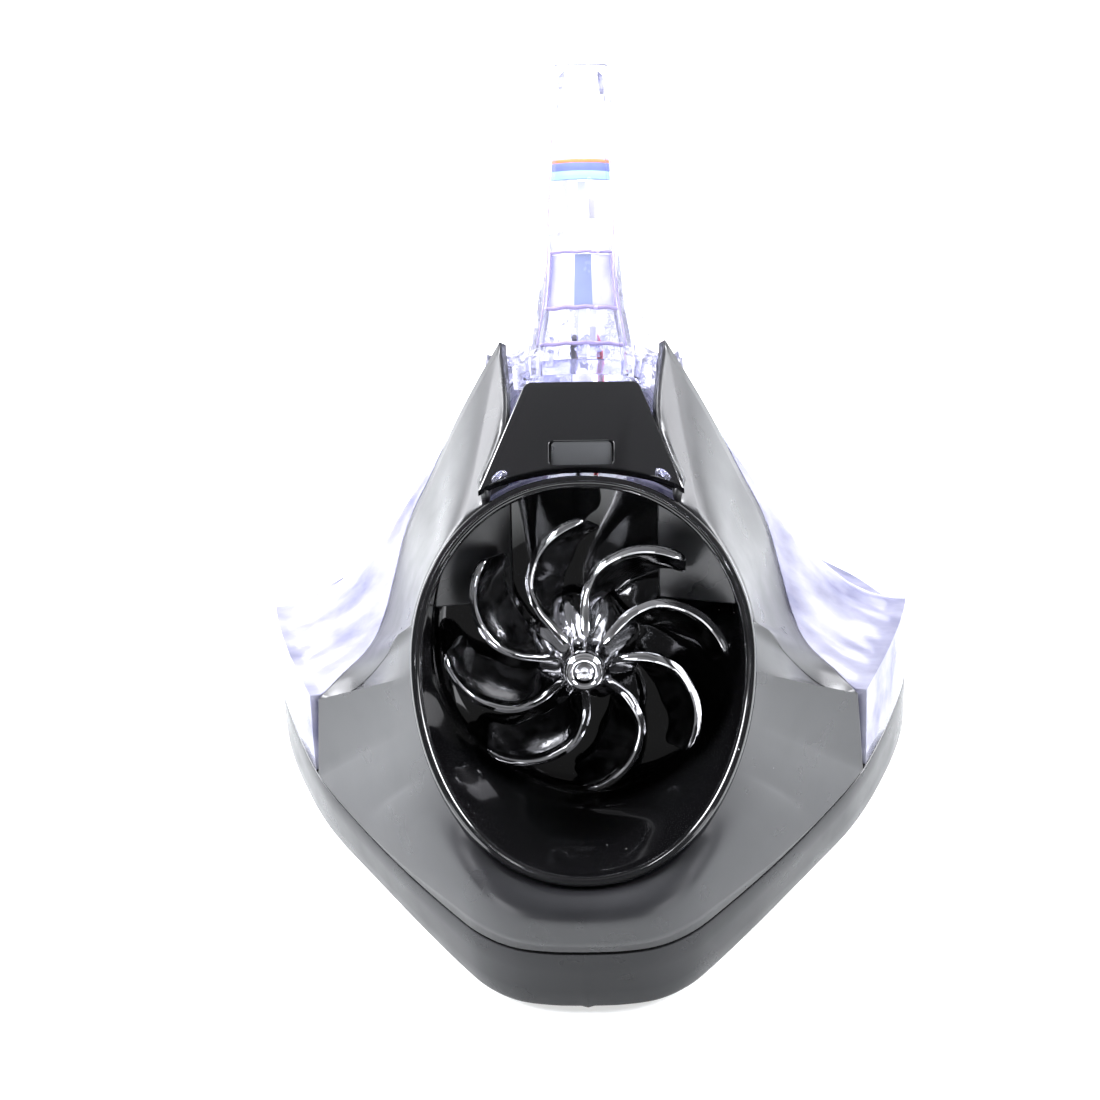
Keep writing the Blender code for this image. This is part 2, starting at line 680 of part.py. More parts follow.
def blade_rows(along=9, deep=3):
    """One blade whose tip points straight up: rows from the front edge to the rear edge."""
    radii = [2.6, 5.0, 8.4, 10.6, 13.0, 15.2, 17.2, 18.9, ROTOR_RADIUS]
    rows = []
    for d in range(deep + 1):
        depth = d / deep
        row = []
        for r in radii:
            reach = (r - radii[0]) / (ROTOR_RADIUS - radii[0])
            turn = math.radians(value_at(SWEEP_KEYS, r) - 45)
            radius = max(r - 2.5 * reach * depth, 2.6)
            lean = value_at(SCOOP_KEYS, r) * depth
            front = value_at([(2.6, 3.4), (5.0, 1.2), (8.4, 0.1), (ROTOR_RADIUS, 0)], r)
            row.append(((axial(radius, turn + lean / radius, front - (BLADE_CHORD + front) * depth)
                         - point(0, 0, 0)) / MM))
        rows.append(row)
    return rows


def spin(p, turn):
    """Turns a millimetre point about the rotor axis, clockwise from in front."""
    ahead = Vector((0, -math.cos(ROTOR_TILT), math.sin(ROTOR_TILT)))
    return ROTOR_CENTRE + Matrix.Rotation(-turn, 3, ahead) @ (p - ROTOR_CENTRE)


def build_rotor():
    profile = [(1.6, 7.6), (2.5, 7.6), (2.9, 6.8), (3.1, 4.2), (4.1, 2.0), (6.4, -1.4), (7.8, -4.2), (8.0, -6.4),
               (SHAFT_RADIUS + 0.06, -6.4), (SHAFT_RADIUS + 0.06, 2.2), (1.6, 2.2)]
    rotor = bake(turned("turbine_rotor", profile, rotor_matrix()))
    for number in range(BLADES):
        rows = [[spin(p, 2 * math.pi * number / BLADES) for p in row] for row in blade_rows()]
        blade = skin("blade", rows, BLADE_THICK)
        blade.modifiers["wall"].offset = 0
        combine(rotor, bake(blade), 'UNION')
    keep(rotor, "chrome")


def build_shaft_and_screw():
    shaft = cylinder("generator_shaft", SHAFT_RADIUS, 33.2, rotor_matrix(-31.4))
    keep(shaft, "steel")
    screw = turned("rotor_screw", [(0, 7.1), (0.5, 6.5), (0.9, 7.2), (1.3, 7.0), (1.3, 5.6), (1.25, 2.6), (0, 2.6)],
                   rotor_matrix(), 16)
    keep(screw, "chrome")


# ---------------------------------------------------------------- generator

def build_can():
    length = CAN_FRONT - CAN_BACK
    inner = CAN_RADIUS - CAN_WALL
    profile = [(CAN_RADIUS, length), (CAN_RADIUS, 0), (inner, 0), (inner, length - CAN_WALL),
               (2.7, length - CAN_WALL), (2.7, length)]
    keep(turned("generator_can", profile, rotor_matrix(CAN_BACK)), "steel")
    bell = turned("generator_end_bell", [
        (CAN_RADIUS, 0.0), (CAN_RADIUS, -1.4), (8.0, -2.6), (2.7, -2.6), (2.7, 0.0)],
        rotor_matrix(CAN_BACK - GAP))
    keep(bell, "white_nylon")


def build_bushes():
    places = {"front_bush": CAN_FRONT - 2.2, "rear_bush": CAN_BACK - 2.6}
    for name, along in places.items():
        keep(ring(name, 2.4, SHAFT_RADIUS + 0.07, 2.4, rotor_matrix(along)), "brass")


def build_magnets():
    for name, middle in (("magnet_upper", 0.0), ("magnet_lower", math.pi)):
        outline = []
        for radius, order in ((MAGNET_OUTER, 1), (MAGNET_INNER, -1)):
            for i in range(-6, 7):
                angle = middle + order * i * math.radians(10.5)
                outline.append((radius * math.cos(angle), radius * math.sin(angle)))
        magnet = plate(name, outline, 14, rotor_matrix((CORE_FRONT + CORE_BACK) / 2))
        keep(magnet, "ferrite")


def pole_outline():
    """Three-pole armature lamination with a hub, necks and curved shoes."""
    outline = []
    for pole in range(POLES):
        middle = 2 * math.pi * pole / POLES
        neck = [(2.35, -0.52), (5.0, -0.23)]
        shoe = [(6.5, math.radians(a)) for a in (-46, -23, 0, 23, 46)]
        for radius, angle in neck + [(5.3, math.radians(-46))] + shoe + [(5.3, math.radians(46)), (5.0, 0.23), (2.35, 0.52)]:
            outline.append((radius * math.cos(middle + angle), radius * math.sin(middle + angle)))
    return outline


def build_armature():
    middle = (CORE_FRONT + CORE_BACK) / 2
    depth = CORE_FRONT - CORE_BACK
    core = plate("armature_core", pole_outline(), depth, rotor_matrix(middle))
    bore = cylinder("bore", SHAFT_RADIUS + GAP, depth + 2, rotor_matrix(CORE_BACK - 1), 16)
    keep(combine(core, bore, 'DIFFERENCE'), "steel")
    reach, half = depth / 2 + COIL_RADIUS + GAP, 2.1
    for pole in range(POLES):
        turn = rotor_matrix(middle) @ Matrix.Rotation(2 * math.pi * pole / POLES, 4, 'Z')
        loop = [(-half, -reach + 1), (-half + 1, -reach), (half - 1, -reach), (half, -reach + 1),
                (half, reach - 1), (half - 1, reach), (-half + 1, reach), (-half, reach - 1)]
        spots = [turn @ (Vector((3.15, across, along)) * MM) for across, along in loop]
        keys = [(p / MM) + Vector((0, LENGTH / 2, 0)) for p in spots]
        keep(wire("armature_coil_%d" % (pole + 1), keys, COIL_RADIUS, cyclic=True), "copper")
    commutator = ring("commutator", 2.6, SHAFT_RADIUS + GAP, 3.4, rotor_matrix(CORE_BACK - 5.6))
    keep(commutator, "copper")


def build_brushes():
    for name, side in (("brush_left", -1), ("brush_right", 1)):
        place = rotor_matrix(CORE_BACK - 4.0) @ Matrix.Translation(Vector((0, side * 3.35, 0)) * MM)
        brush = block(name, (2.0, 0.9, 1.8), (0, 0, 0))
        brush.matrix_world = place
        keep(soften(brush, 0.15), "ferrite")
    for name, side in (("terminal_left", -1), ("terminal_right", 1)):
        place = rotor_matrix(CAN_BACK - 4.6) @ Matrix.Translation(Vector((side * 6.2, 0, 0)) * MM)
        terminal = block(name, (0.6, 2.6, 2.6), (0, 0, 0))
        terminal.matrix_world = place
        keep(soften(terminal, 0.12), "brass")


def build_cradle():
    """Saddle that holds the generator, standing on the tray floor."""
    foot_y, foot_z = 55.0, FLOOR_TOP + GAP
    cradle = block("generator_cradle", (30, 9, 15), (0, foot_y, foot_z + 7.5))
    seat = cylinder("seat", CAN_RADIUS + GAP, 40, rotor_matrix(-40), 32)
    combine(cradle, seat, 'DIFFERENCE')
    for side in (-1, 1):
        ear = block("ear", (8, 9, 2.5), (side * 18, foot_y, foot_z + 1.25))
        combine(cradle, ear, 'UNION')
        hole = cylinder("hole", SCREW_RADIUS + GAP, 8, upright(side * 18.5, foot_y, foot_z - 2), 16)
        combine(cradle, hole, 'DIFFERENCE')
    keep(cradle, "component_black")
    for name, side in (("cradle_screw_left", -1), ("cradle_screw_right", 1)):
        base = foot_z + 0.3
        screw = turned(name, [(0, base + 4.3), (HEAD_RADIUS - 0.5, base + 4.1), (HEAD_RADIUS, base + 3.6),
                              (HEAD_RADIUS, base + 2.5), (SCREW_RADIUS, base + 2.5), (SCREW_RADIUS, base), (0, base)],
                       upright(side * 18.5, foot_y, 0), 16)
        keep(screw, "zinc")


# ---------------------------------------------------------------- electronics

def build_main_board():
    board = block("main_board", (30, 34, BOARD_THICK), (0, 87, BOARD_Z + BOARD_THICK / 2))
    for x, y in [(-BOARD_X, BOARD_FRONT), (BOARD_X, BOARD_REAR)]:
        combine(board, cylinder("hole", 1.3, 6, upright(x, y, BOARD_Z - 2), 12), 'DIFFERENCE')
        screw = turned("board_screw_%s" % ("front" if y < 90 else "rear"), [
            (0, BOARD_Z + 3.4), (1.8, BOARD_Z + 3.2), (2.0, BOARD_Z + 2.8), (2.0, BOARD_Z + BOARD_THICK + 0.2),
            (0.9, BOARD_Z + BOARD_THICK + 0.2), (0.9, BOARD_Z - 2.6), (0, BOARD_Z - 2.6)], upright(x, y, 0), 12)
        keep(screw, "zinc")
    keep(board, "green_board")
    top = BOARD_Z + BOARD_THICK + GAP
    can = turned("storage_capacitor", [(0, 16), (4.6, 16), (5.0, 15.6), (5.0, 1.8), (4.7, 1.3), (5.0, 0.8), (5.0, 0),
                                       (0, 0)], upright(-8, 94, top), 16)
    keep(can, "sleeve_blue")
    keep(soften(block("rectifier", (7, 6, 2.6), (8, 82, top + 1.3)), 0.3), "component_black")
    keep(soften(block("controller_chip", (5, 8, 1.6), (8, 92.5, top + 0.8)), 0.2), "component_black")


def build_fin_lights():
    """Upright board inside the fin, with its lamps along the leading edge."""
    flank = Matrix.Rotation(math.radians(90), 4, 'Y')
    outline = [(-64.6, 66.0), (-66.4, 66.0), (-84.5, 82.5), (-84.5, 90.5), (-70.0, 90.5), (-55, 78)]
    board = plate("fin_led_board", outline, LED_BOARD_THICK,
                  Matrix.Translation(point(0, 0, 0)) @ flank)
    keep(board, "white_board")
    spots = [(66.5, 70.0), (73.5, 76.5), (80.5, 82.4)]
    for number, (y, z) in enumerate(spots, 1):
        lamp = block("fin_led_%d" % number, (1.0, 2.8, 3.5), (LED_BOARD_THICK / 2 + 0.8, y + 4, z - 3))
        keep(soften(lamp, 0.2), "led_clear")
    nose = turned("fin_front_led", [(0, 2.6), (0.9, 2.3), (1.4, 1.4), (1.5, 0), (0, 0)],
                  Matrix.Translation(point(0, 61.5, 64.2)))
    keep(nose, "led_clear")


def build_side_lights():
    for side, name in ((-1, "left"), (1, "right")):
        board = block("side_led_board_" + name, (10, 14, LED_BOARD_THICK), (side * 34, 64, 13.4))
        keep(board, "white_board")
        lamp = block("side_led_" + name, (3.5, 3.5, 1.6), (side * 34, 64, 15.1))
        keep(soften(lamp, 0.3), "led_clear")


def build_wires():
    end = (axial(6.2, math.radians(90), CAN_BACK - 7.0) / MM) + Vector((0, LENGTH / 2, 0))
    board_top = BOARD_Z + BOARD_THICK + 1.0
    for name, side, kind in (("generator_lead_red", 1, "wire_red"), ("generator_lead_black", -1, "wire_black")):
        start = (side * end.x, end.y, end.z)
        keep(wire(name, [start, (side * 7.5, end.y + 3, 17), (side * 8.5, 75.6, 13.0), (side * 7.0, 76.5, board_top)]),
             kind)
    for name, side, kind in (("fin_lead_red", 1, "wire_red"), ("fin_lead_black", -1, "wire_black")):
        keep(wire(name, [(side * 1.9, 90.0, board_top), (side * 1.9, 89.0, 22), (side * 1.9, 86.0, 40),
                         (side * 1.9, 80.0, 56), (side * 1.5, 79.0, 60)], 0.5, 16), kind)
    for name, side in (("side_lead_left", -1), ("side_lead_right", 1)):
        keep(wire(name, [(side * 13.6, 88.0, board_top), (side * 17, 84, 13), (side * 25.0, 75, 15.0),
                         (side * 31.5, 69, 14.9)], 0.5), "wire_black")


def clear_scene():
    for obj in list(bpy.data.objects):
        bpy.data.objects.remove(obj)
    bpy.context.scene.collection.children.link(COLLECTION)


def finish_shading():
    for obj in COLLECTION.objects:
        obj.data.shade_smooth()
        obj.data.set_sharp_from_angle(angle=math.radians(35))


def main():
    clear_scene()
    build_tray()
    build_tape()
    build_tray_screws()
    build_cowl()
    build_duct()
    build_fascia()
    build_wings()
    build_fin()
    build_rotor()
    build_shaft_and_screw()
    build_can()
    build_bushes()
    build_magnets()
    build_armature()
    build_brushes()
    build_cradle()
    build_main_board()
    build_fin_lights()
    build_side_lights()
    build_wires()
    finish_shading()


main()
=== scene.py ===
"""Looks of the wind-driven roof-fin lamp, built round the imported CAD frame.

Shapes are worked out in millimetres: x across, y back from the nose, z up from the mounting surface.
"""
import math
import random

import bmesh
import bpy
from mathutils import Matrix, Vector, noise


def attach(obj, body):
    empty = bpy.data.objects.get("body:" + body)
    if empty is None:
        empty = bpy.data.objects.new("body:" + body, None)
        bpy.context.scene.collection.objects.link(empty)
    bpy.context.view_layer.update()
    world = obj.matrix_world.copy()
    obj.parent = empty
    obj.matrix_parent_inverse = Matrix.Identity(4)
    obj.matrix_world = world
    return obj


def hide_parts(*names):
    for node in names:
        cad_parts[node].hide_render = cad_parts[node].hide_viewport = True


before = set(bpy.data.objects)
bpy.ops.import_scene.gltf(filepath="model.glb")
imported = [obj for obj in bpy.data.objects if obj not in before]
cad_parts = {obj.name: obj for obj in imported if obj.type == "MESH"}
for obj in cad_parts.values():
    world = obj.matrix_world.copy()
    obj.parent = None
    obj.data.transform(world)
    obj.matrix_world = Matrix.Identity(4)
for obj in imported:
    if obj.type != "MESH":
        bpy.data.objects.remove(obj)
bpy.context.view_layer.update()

MM = 0.001
GAP = 0.3
LENGTH = 128.0
PARTING_Z = 12.0

# -------- shape keys, the same as the CAD's

NOSE_OUTLINE = [(0, 0), (5, 0.2), (10, 1.2), (14.4, 3.8), (18.4, 8.0), (26.3, 18.0), (33.6, 28.6)]
SIDE_OUTLINE = [(39.2, 38.2), (43.4, 49.5), (45.7, 58.5), (46, 65), (44.4, 73), (39.6, 79.6), (34, 84.6),
                (29, 90), (25.4, 97), (22.8, 105), (20.2, 113), (16.6, 120.4), (11.6, 125.6), (6, LENGTH)]
CREST_KEYS = [(38, 46), (49, 57), (60, 75), (67, 76.5), (75, 72.5), (90, 62), (105, 46), (118, 29),
              (LENGTH, 17)]
SHOULDER_KEYS = [(38, 26), (58, 26), (61, 25.4), (65, 22), (73, 15.6), (78, 14.5), (LENGTH, 14.3)]
WAIST_KEYS = [(60, 1.1), (75, 1.35), (88, 1.0), (LENGTH, 1.0)]
FIN_TOP_KEYS = [(58.6, 67.9), (66, 75.6), (76, 84.0), (86, 91.2), (93, 95.6), (95, 96), (96.6, 94.6),
                (97.6, 88), (99, 76), (103, 61), (110, 46), (119, 32), (LENGTH, 18.5)]
SEAM_KEYS = [(58, 10), (66, 12), (78, 12), (90, 10.5), (110, 7.5), (LENGTH, 3.5)]
FIN_HALF_KEYS = [(58, 7.6), (62, 7.0), (66, 6.1), (71, 5.5), (77, 5.3), (86, 4.8), (95, 4.0), (110, 3.4),
                 (LENGTH, 2.4)]
FIN_WINDOW = (66.4, 72.2)

TAIL_INSET = 1.3
COWL_WALL, DUCT_WALL, WING_WALL, FIN_WALL = 1.2, 0.9, 1.6, 1.7

RIM_LEAN = math.radians(43)
RIM_BASE = (4.2, 20.0)
RIM_HALF_WIDTH = 24.4
RIM_BELOW = 32.0
RIM_ABOVE = 25.8

# The cowl's outer edge beside the wing and the fascia, with the angle on the rim that each point faces
CORNER_STATIONS = [(74, (39.2, 38.2, PARTING_Z)), (86, (38.4, 38.6, 26))]
WING_STATIONS = [(86, (38.4, 38.6, 26)), (92, (35.4, 41.4, 28)), (98, (31.6, 44.2, 30.4)),
                 (104, (29.2, 48.6, 32.6)), (110, (27.7, 53.0, 36.4)), (117, (25.6, 57.0, 43.0)),
                 (124, (22.0, 59.6, 50.0)), (129, (18.4, 61.6, 57.6)), (134, (15.0, 63.4, 63.8)),
                 (138, (11.7, 65.6, 68.9))]
HORN_STATIONS = [(138, (11.7, 65.6, 68.9)), (141, (11.1, 59.6, 67.2)), (143, (11.0, 53.6, 65.4)),
                 (145, (12.6, 48.4, 63.0)), (147, (14.5, 43.9, 60.6))]
CREASE = [(38.4, 38.6, 26), (37.3, 38.4, 26.2), (35.8, 38.0, 26.7), (34.2, 37.6, 27.7), (32.5, 37.0, 29.4),
          (30.9, 36.2, 31.7), (29.3, 35.2, 34.5), (27.4, 33.6, 38.5), (25.9, 31.6, 43.2)]
CREASE_TURNS = (86, 101)

FASCIA_FOOT = Vector((0, 44.7, 62.3))
FASCIA_HEAD = Vector((0, 57.9, 67.5))

ROTOR_CENTRE = Vector((0, 36.5, 35.0))
ROTOR_TILT = math.radians(22)
ROTOR_RADIUS = 20.3
BLADES = 8
BLADE_ROOT = 2.6
BLADE_CHORD = 5.0
SCOOP_KEYS = [(BLADE_ROOT, 0.3), (8.4, 2.4), (12.0, 4.4), (15.0, 5.2), (17.5, 4.3), (ROTOR_RADIUS, 2.5)]
SWEEP_KEYS = [(BLADE_ROOT, 0), (8.4, 0), (10.4, 2.5), (12.9, 7.5), (15.0, 15), (17.4, 25.5), (19.0, 35),
              (ROTOR_RADIUS, 45)]
CUP_RADIUS = 21.8
CUP_BACK = -8.2


# -------- geometry helpers

def point(x, y, z):
    return Vector((x, y - LENGTH / 2, z)) * MM


AHEAD = Vector((0, -math.cos(ROTOR_TILT), math.sin(ROTOR_TILT)))
UPWARD = Vector((0, math.sin(ROTOR_TILT), math.cos(ROTOR_TILT)))
SIDEWAYS = Vector((1, 0, 0))


def about_axis(across, above, along):
    """Millimetre point from distances in the rotor's own frame."""
    return ROTOR_CENTRE + across * SIDEWAYS + above * UPWARD + along * AHEAD


def polar(radius, turn, along):
    """turn runs clockwise from straight up, seen from in front."""
    return about_axis(radius * math.sin(turn), radius * math.cos(turn), along)


def smooth_path(keys, count):
    """A smooth curve through the key points, cut into equal lengths."""
    keys = [Vector(k) for k in keys]
    padded = [2 * keys[0] - keys[1]] + keys + [2 * keys[-1] - keys[-2]]
    dense = []
    for a, b, c, d in zip(padded, padded[1:], padded[2:], padded[3:]):
        for step in range(12):
            t = step / 12
            dense.append(0.5 * (2 * b + (c - a) * t + (2 * a - 5 * b + 4 * c - d) * t ** 2
                                + (3 * b - a - 3 * c + d) * t ** 3))
    dense.append(keys[-1])
    travelled = [0.0]
    for a, b in zip(dense, dense[1:]):
        travelled.append(travelled[-1] + (b - a).length)
    path, at = [], 0
    for i in range(count):
        goal = travelled[-1] * i / (count - 1)
        while at < len(dense) - 2 and travelled[at + 1] < goal:
            at += 1
        share = (goal - travelled[at]) / max(travelled[at + 1] - travelled[at], 1e-9)
        path.append(dense[at].lerp(dense[at + 1], min(share, 1.0)))
    return path


def value_at(keys, at):
    """A smooth curve of values over the keys (place, value), level at its ends."""
    if at <= keys[0][0]:
        return keys[0][1]
    for i in range(len(keys) - 1):
        (a, va), (b, vb) = keys[i], keys[i + 1]
        if at <= b:
            before = keys[max(i - 1, 0)]
            after = keys[min(i + 2, len(keys) - 1)]
            slope_a = (vb - before[1]) / (b - before[0])
            slope_b = (after[1] - va) / (after[0] - a)
            t = (at - a) / (b - a)
            return ((2 * t ** 3 - 3 * t ** 2 + 1) * va + (t ** 3 - 2 * t ** 2 + t) * (b - a) * slope_a
                    + (3 * t ** 2 - 2 * t ** 3) * vb + (t ** 3 - t ** 2) * (b - a) * slope_b)
    return keys[-1][1]


def linear_at(keys, at):
    for (a, va), (b, vb) in zip(keys, keys[1:]):
        if at <= b:
            return va + (vb - va) * max(at - a, 0) / (b - a)
    return keys[-1][1]


def ease(t):
    t = min(max(t, 0.0), 1.0)
    return t * t * (3 - 2 * t)


def whole_turn(count):
    return [2 * math.pi * i / count for i in range(count)]


def half_width(y):
    return value_at([(py, px) for px, py in SIDE_OUTLINE], y)


def seam_share(y):
    return value_at(SEAM_KEYS, y) / half_width(y)


def skin_z(u, y):
    """Height of the bell-shaped body at a share u of its half width."""
    shoulder = value_at(SHOULDER_KEYS, y)
    crest = value_at(CREST_KEYS, y)
    swell = 0.5 + 0.5 * math.cos(math.pi * min(u, 1.0))
    return shoulder + (crest - shoulder) * swell ** value_at(WAIST_KEYS, y)


def rim_point(turn, grow=0.0, back=0.0):
    """On the rim: turn runs from the lowest point up the right side; back is behind the rim's plane."""
    rise = RIM_BELOW if math.cos(turn) > 0 else RIM_ABOVE
    across = (RIM_HALF_WIDTH + grow) * math.copysign(abs(math.sin(turn)) ** 0.93, math.sin(turn))
    up = RIM_BELOW - (rise + grow) * math.cos(turn)
    y = RIM_BASE[0] + up * math.sin(RIM_LEAN) + back * math.cos(RIM_LEAN)
    z = RIM_BASE[1] + up * math.cos(RIM_LEAN) - back * math.sin(RIM_LEAN)
    return Vector((across, y, z))


OUTLINE = [Vector((p.x, p.y)) for p in smooth_path([(x, y, 0) for x, y in NOSE_OUTLINE + SIDE_OUTLINE], 170)]


def full_ring(z, inset=0.0, tuck=0.0):
    """The whole outline at a height, moved in square to itself; tuck moves the front sides in further."""
    moved = []
    end = len(OUTLINE) - 1
    for i, p in enumerate(OUTLINE):
        along = (OUTLINE[min(i + 1, end)] - OUTLINE[max(i - 1, 0)]).normalized()
        inward = Vector((-along.y, along.x))
        undercut = tuck * math.exp(-((p.y - 24) / 20) ** 2)
        q = p + inward * (inset + undercut)
        if i == 0:
            q = Vector((0, p.y + inset))
        if i == end:
            q = Vector((p.x - 0.35 * inset, p.y - inset))
        moved.append(q)
    right = [Vector((q.x, q.y, z)) for q in moved]
    left = [Vector((-q.x, q.y, z)) for q in reversed(moved[1:])]
    return right + left


# -------- mesh helpers

def add_object(name, mesh):
    obj = bpy.data.objects.new(name, mesh)
    bpy.context.scene.collection.objects.link(obj)
    return obj


def raw_mesh(name, points, faces):
    mesh = bpy.data.meshes.new(name)
    mesh.from_pydata([tuple(point(*p)) for p in points], [], faces)
    work = bmesh.new()
    work.from_mesh(mesh)
    bmesh.ops.remove_doubles(work, verts=work.verts, dist=0.000012)
    work.to_mesh(mesh)
    work.free()
    return add_object(name, mesh)


def grid_faces(rows, columns, closed=False, start=0):
    wide = columns if closed else columns - 1
    return [(start + r * columns + c, start + r * columns + (c + 1) % columns,
             start + (r + 1) * columns + (c + 1) % columns, start + (r + 1) * columns + c)
            for r in range(rows - 1) for c in range(wide)]


def outward(obj):
    work = bmesh.new()
    work.from_mesh(obj.data)
    bmesh.ops.recalc_face_normals(work, faces=work.faces)
    work.to_mesh(obj.data)
    work.free()
    return obj


def loft(name, rings):
    """A closed solid through rings of millimetre points, capped at both ends."""
    columns = len(rings[0])
    faces = grid_faces(len(rings), columns, closed=True)
    faces.append(tuple(range(columns)))
    faces.append(tuple(range((len(rings) - 1) * columns, len(rings) * columns)))
    return outward(raw_mesh(name, [p for ring in rings for p in ring], faces))


def loop_loft(name, rings):
    """A closed tube of material through rings, the last joined to the first."""
    columns = len(rings[0])
    faces = grid_faces(len(rings) + 1, columns, closed=True)
    count = len(rings) * columns
    faces = [tuple(i % count for i in face) for face in faces]
    return outward(raw_mesh(name, [p for ring in rings for p in ring], faces))


def add_wall(obj, thickness):
    """Material behind the outer face of an open surface."""
    wall = obj.modifiers.new("wall", 'SOLIDIFY')
    wall.thickness = thickness * MM
    wall.offset = -1
    return obj


def thick(name, rows, wall, closed=False, flip=False):
    """An open surface through rows of points, given a wall behind its outer face."""
    faces = grid_faces(len(rows), len(rows[0]), closed)
    if flip:
        faces = [face[::-1] for face in faces]
    return add_wall(raw_mesh(name, [p for row in rows for p in row], faces), wall)


def lathe(name, profile, place, sides=64, wobble=None):
    """A turned solid about place's own z; its profile (radius, height) closes on itself or the axis."""
    rings = []
    for angle in whole_turn(sides):
        ring = []
        for radius, height in profile:
            r = radius * (wobble(angle, height) if wobble else 1)
            ring.append(place @ Vector((r * math.cos(angle), r * math.sin(angle), height)))
        rings.append(ring)
    closed = profile[0][0] > 0.001
    columns = len(profile)
    faces = []
    for i in range(sides):
        j = (i + 1) % sides
        for c in range(columns if closed else columns - 1):
            d = (c + 1) % columns
            faces.append((i * columns + c, i * columns + d, j * columns + d, j * columns + c))
    obj = raw_mesh(name, [p for ring in rings for p in ring], faces)
    work = bmesh.new()
    work.from_mesh(obj.data)
    bmesh.ops.dissolve_degenerate(work, dist=0.000001, edges=work.edges)
    work.to_mesh(obj.data)
    work.free()
    return outward(obj)


def rotor_place():
    turn = Matrix((SIDEWAYS, UPWARD, AHEAD)).transposed()
    return Matrix.Translation(ROTOR_CENTRE) @ turn.to_4x4()


def upright(x, y):
    return Matrix.Translation(Vector((x, y, 0)))


def tube(name, path, radius, sides=12):
    """A round bar along a path of millimetre points, with rounded ends."""
    rings = []
    up = Vector((0.13, 0.29, 0.95)).normalized()
    for i, p in enumerate(path):
        along = (path[min(i + 1, len(path) - 1)] - path[max(i - 1, 0)]).normalized()
        side = along.cross(up).normalized()
        lift = side.cross(along)
        rings.append([p + radius * (math.cos(a) * side + math.sin(a) * lift) for a in whole_turn(sides)])
    ends = []
    for ring, p, q in ((rings[0], path[0], path[1]), (rings[-1], path[-1], path[-2])):
        out = (p - q).normalized() * radius * 0.5
        centre = sum(ring, Vector()) / len(ring)
        ends.append([centre + (v - centre) * 0.6 + out for v in ring])
    return loft(name, [ends[0]] + rings + [ends[1]])


def dress(obj, finish, body, replaced=(), sharp=35, bevel=0.0):
    """Gives a piece its finish, its smooth shading, its body and the CAD node that it stands for."""
    obj.data.materials.clear()
    obj.data.materials.append(FINISHES[finish])
    obj.data.shade_smooth()
    if sharp:
        obj.data.set_sharp_from_angle(angle=math.radians(sharp))
    if bevel:
        edges = obj.modifiers.new("edges", 'BEVEL')
        edges.width = bevel * MM
        edges.segments = 3
        edges.limit_method = 'ANGLE'
        edges.angle_limit = math.radians(40)
        edges.harden_normals = False
    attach(obj, body)
    if replaced:
        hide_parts(*replaced)


# -------- finishes

FINISHES = {}


def map_range(tree, value, low, high, start, end):
    node = tree.nodes.new("ShaderNodeMapRange")
    for socket, number in (("From Min", start), ("From Max", end), ("To Min", low), ("To Max", high)):
        node.inputs[socket].default_value = number
    tree.links.new(value, node.inputs["Value"])
    return node.outputs["Result"]


def multiply(tree, first, second):
    node = tree.nodes.new("ShaderNodeMath")
    node.operation = 'MULTIPLY'
    tree.links.new(first, node.inputs[0])
    tree.links.new(second, node.inputs[1])
    return node.outputs["Value"]


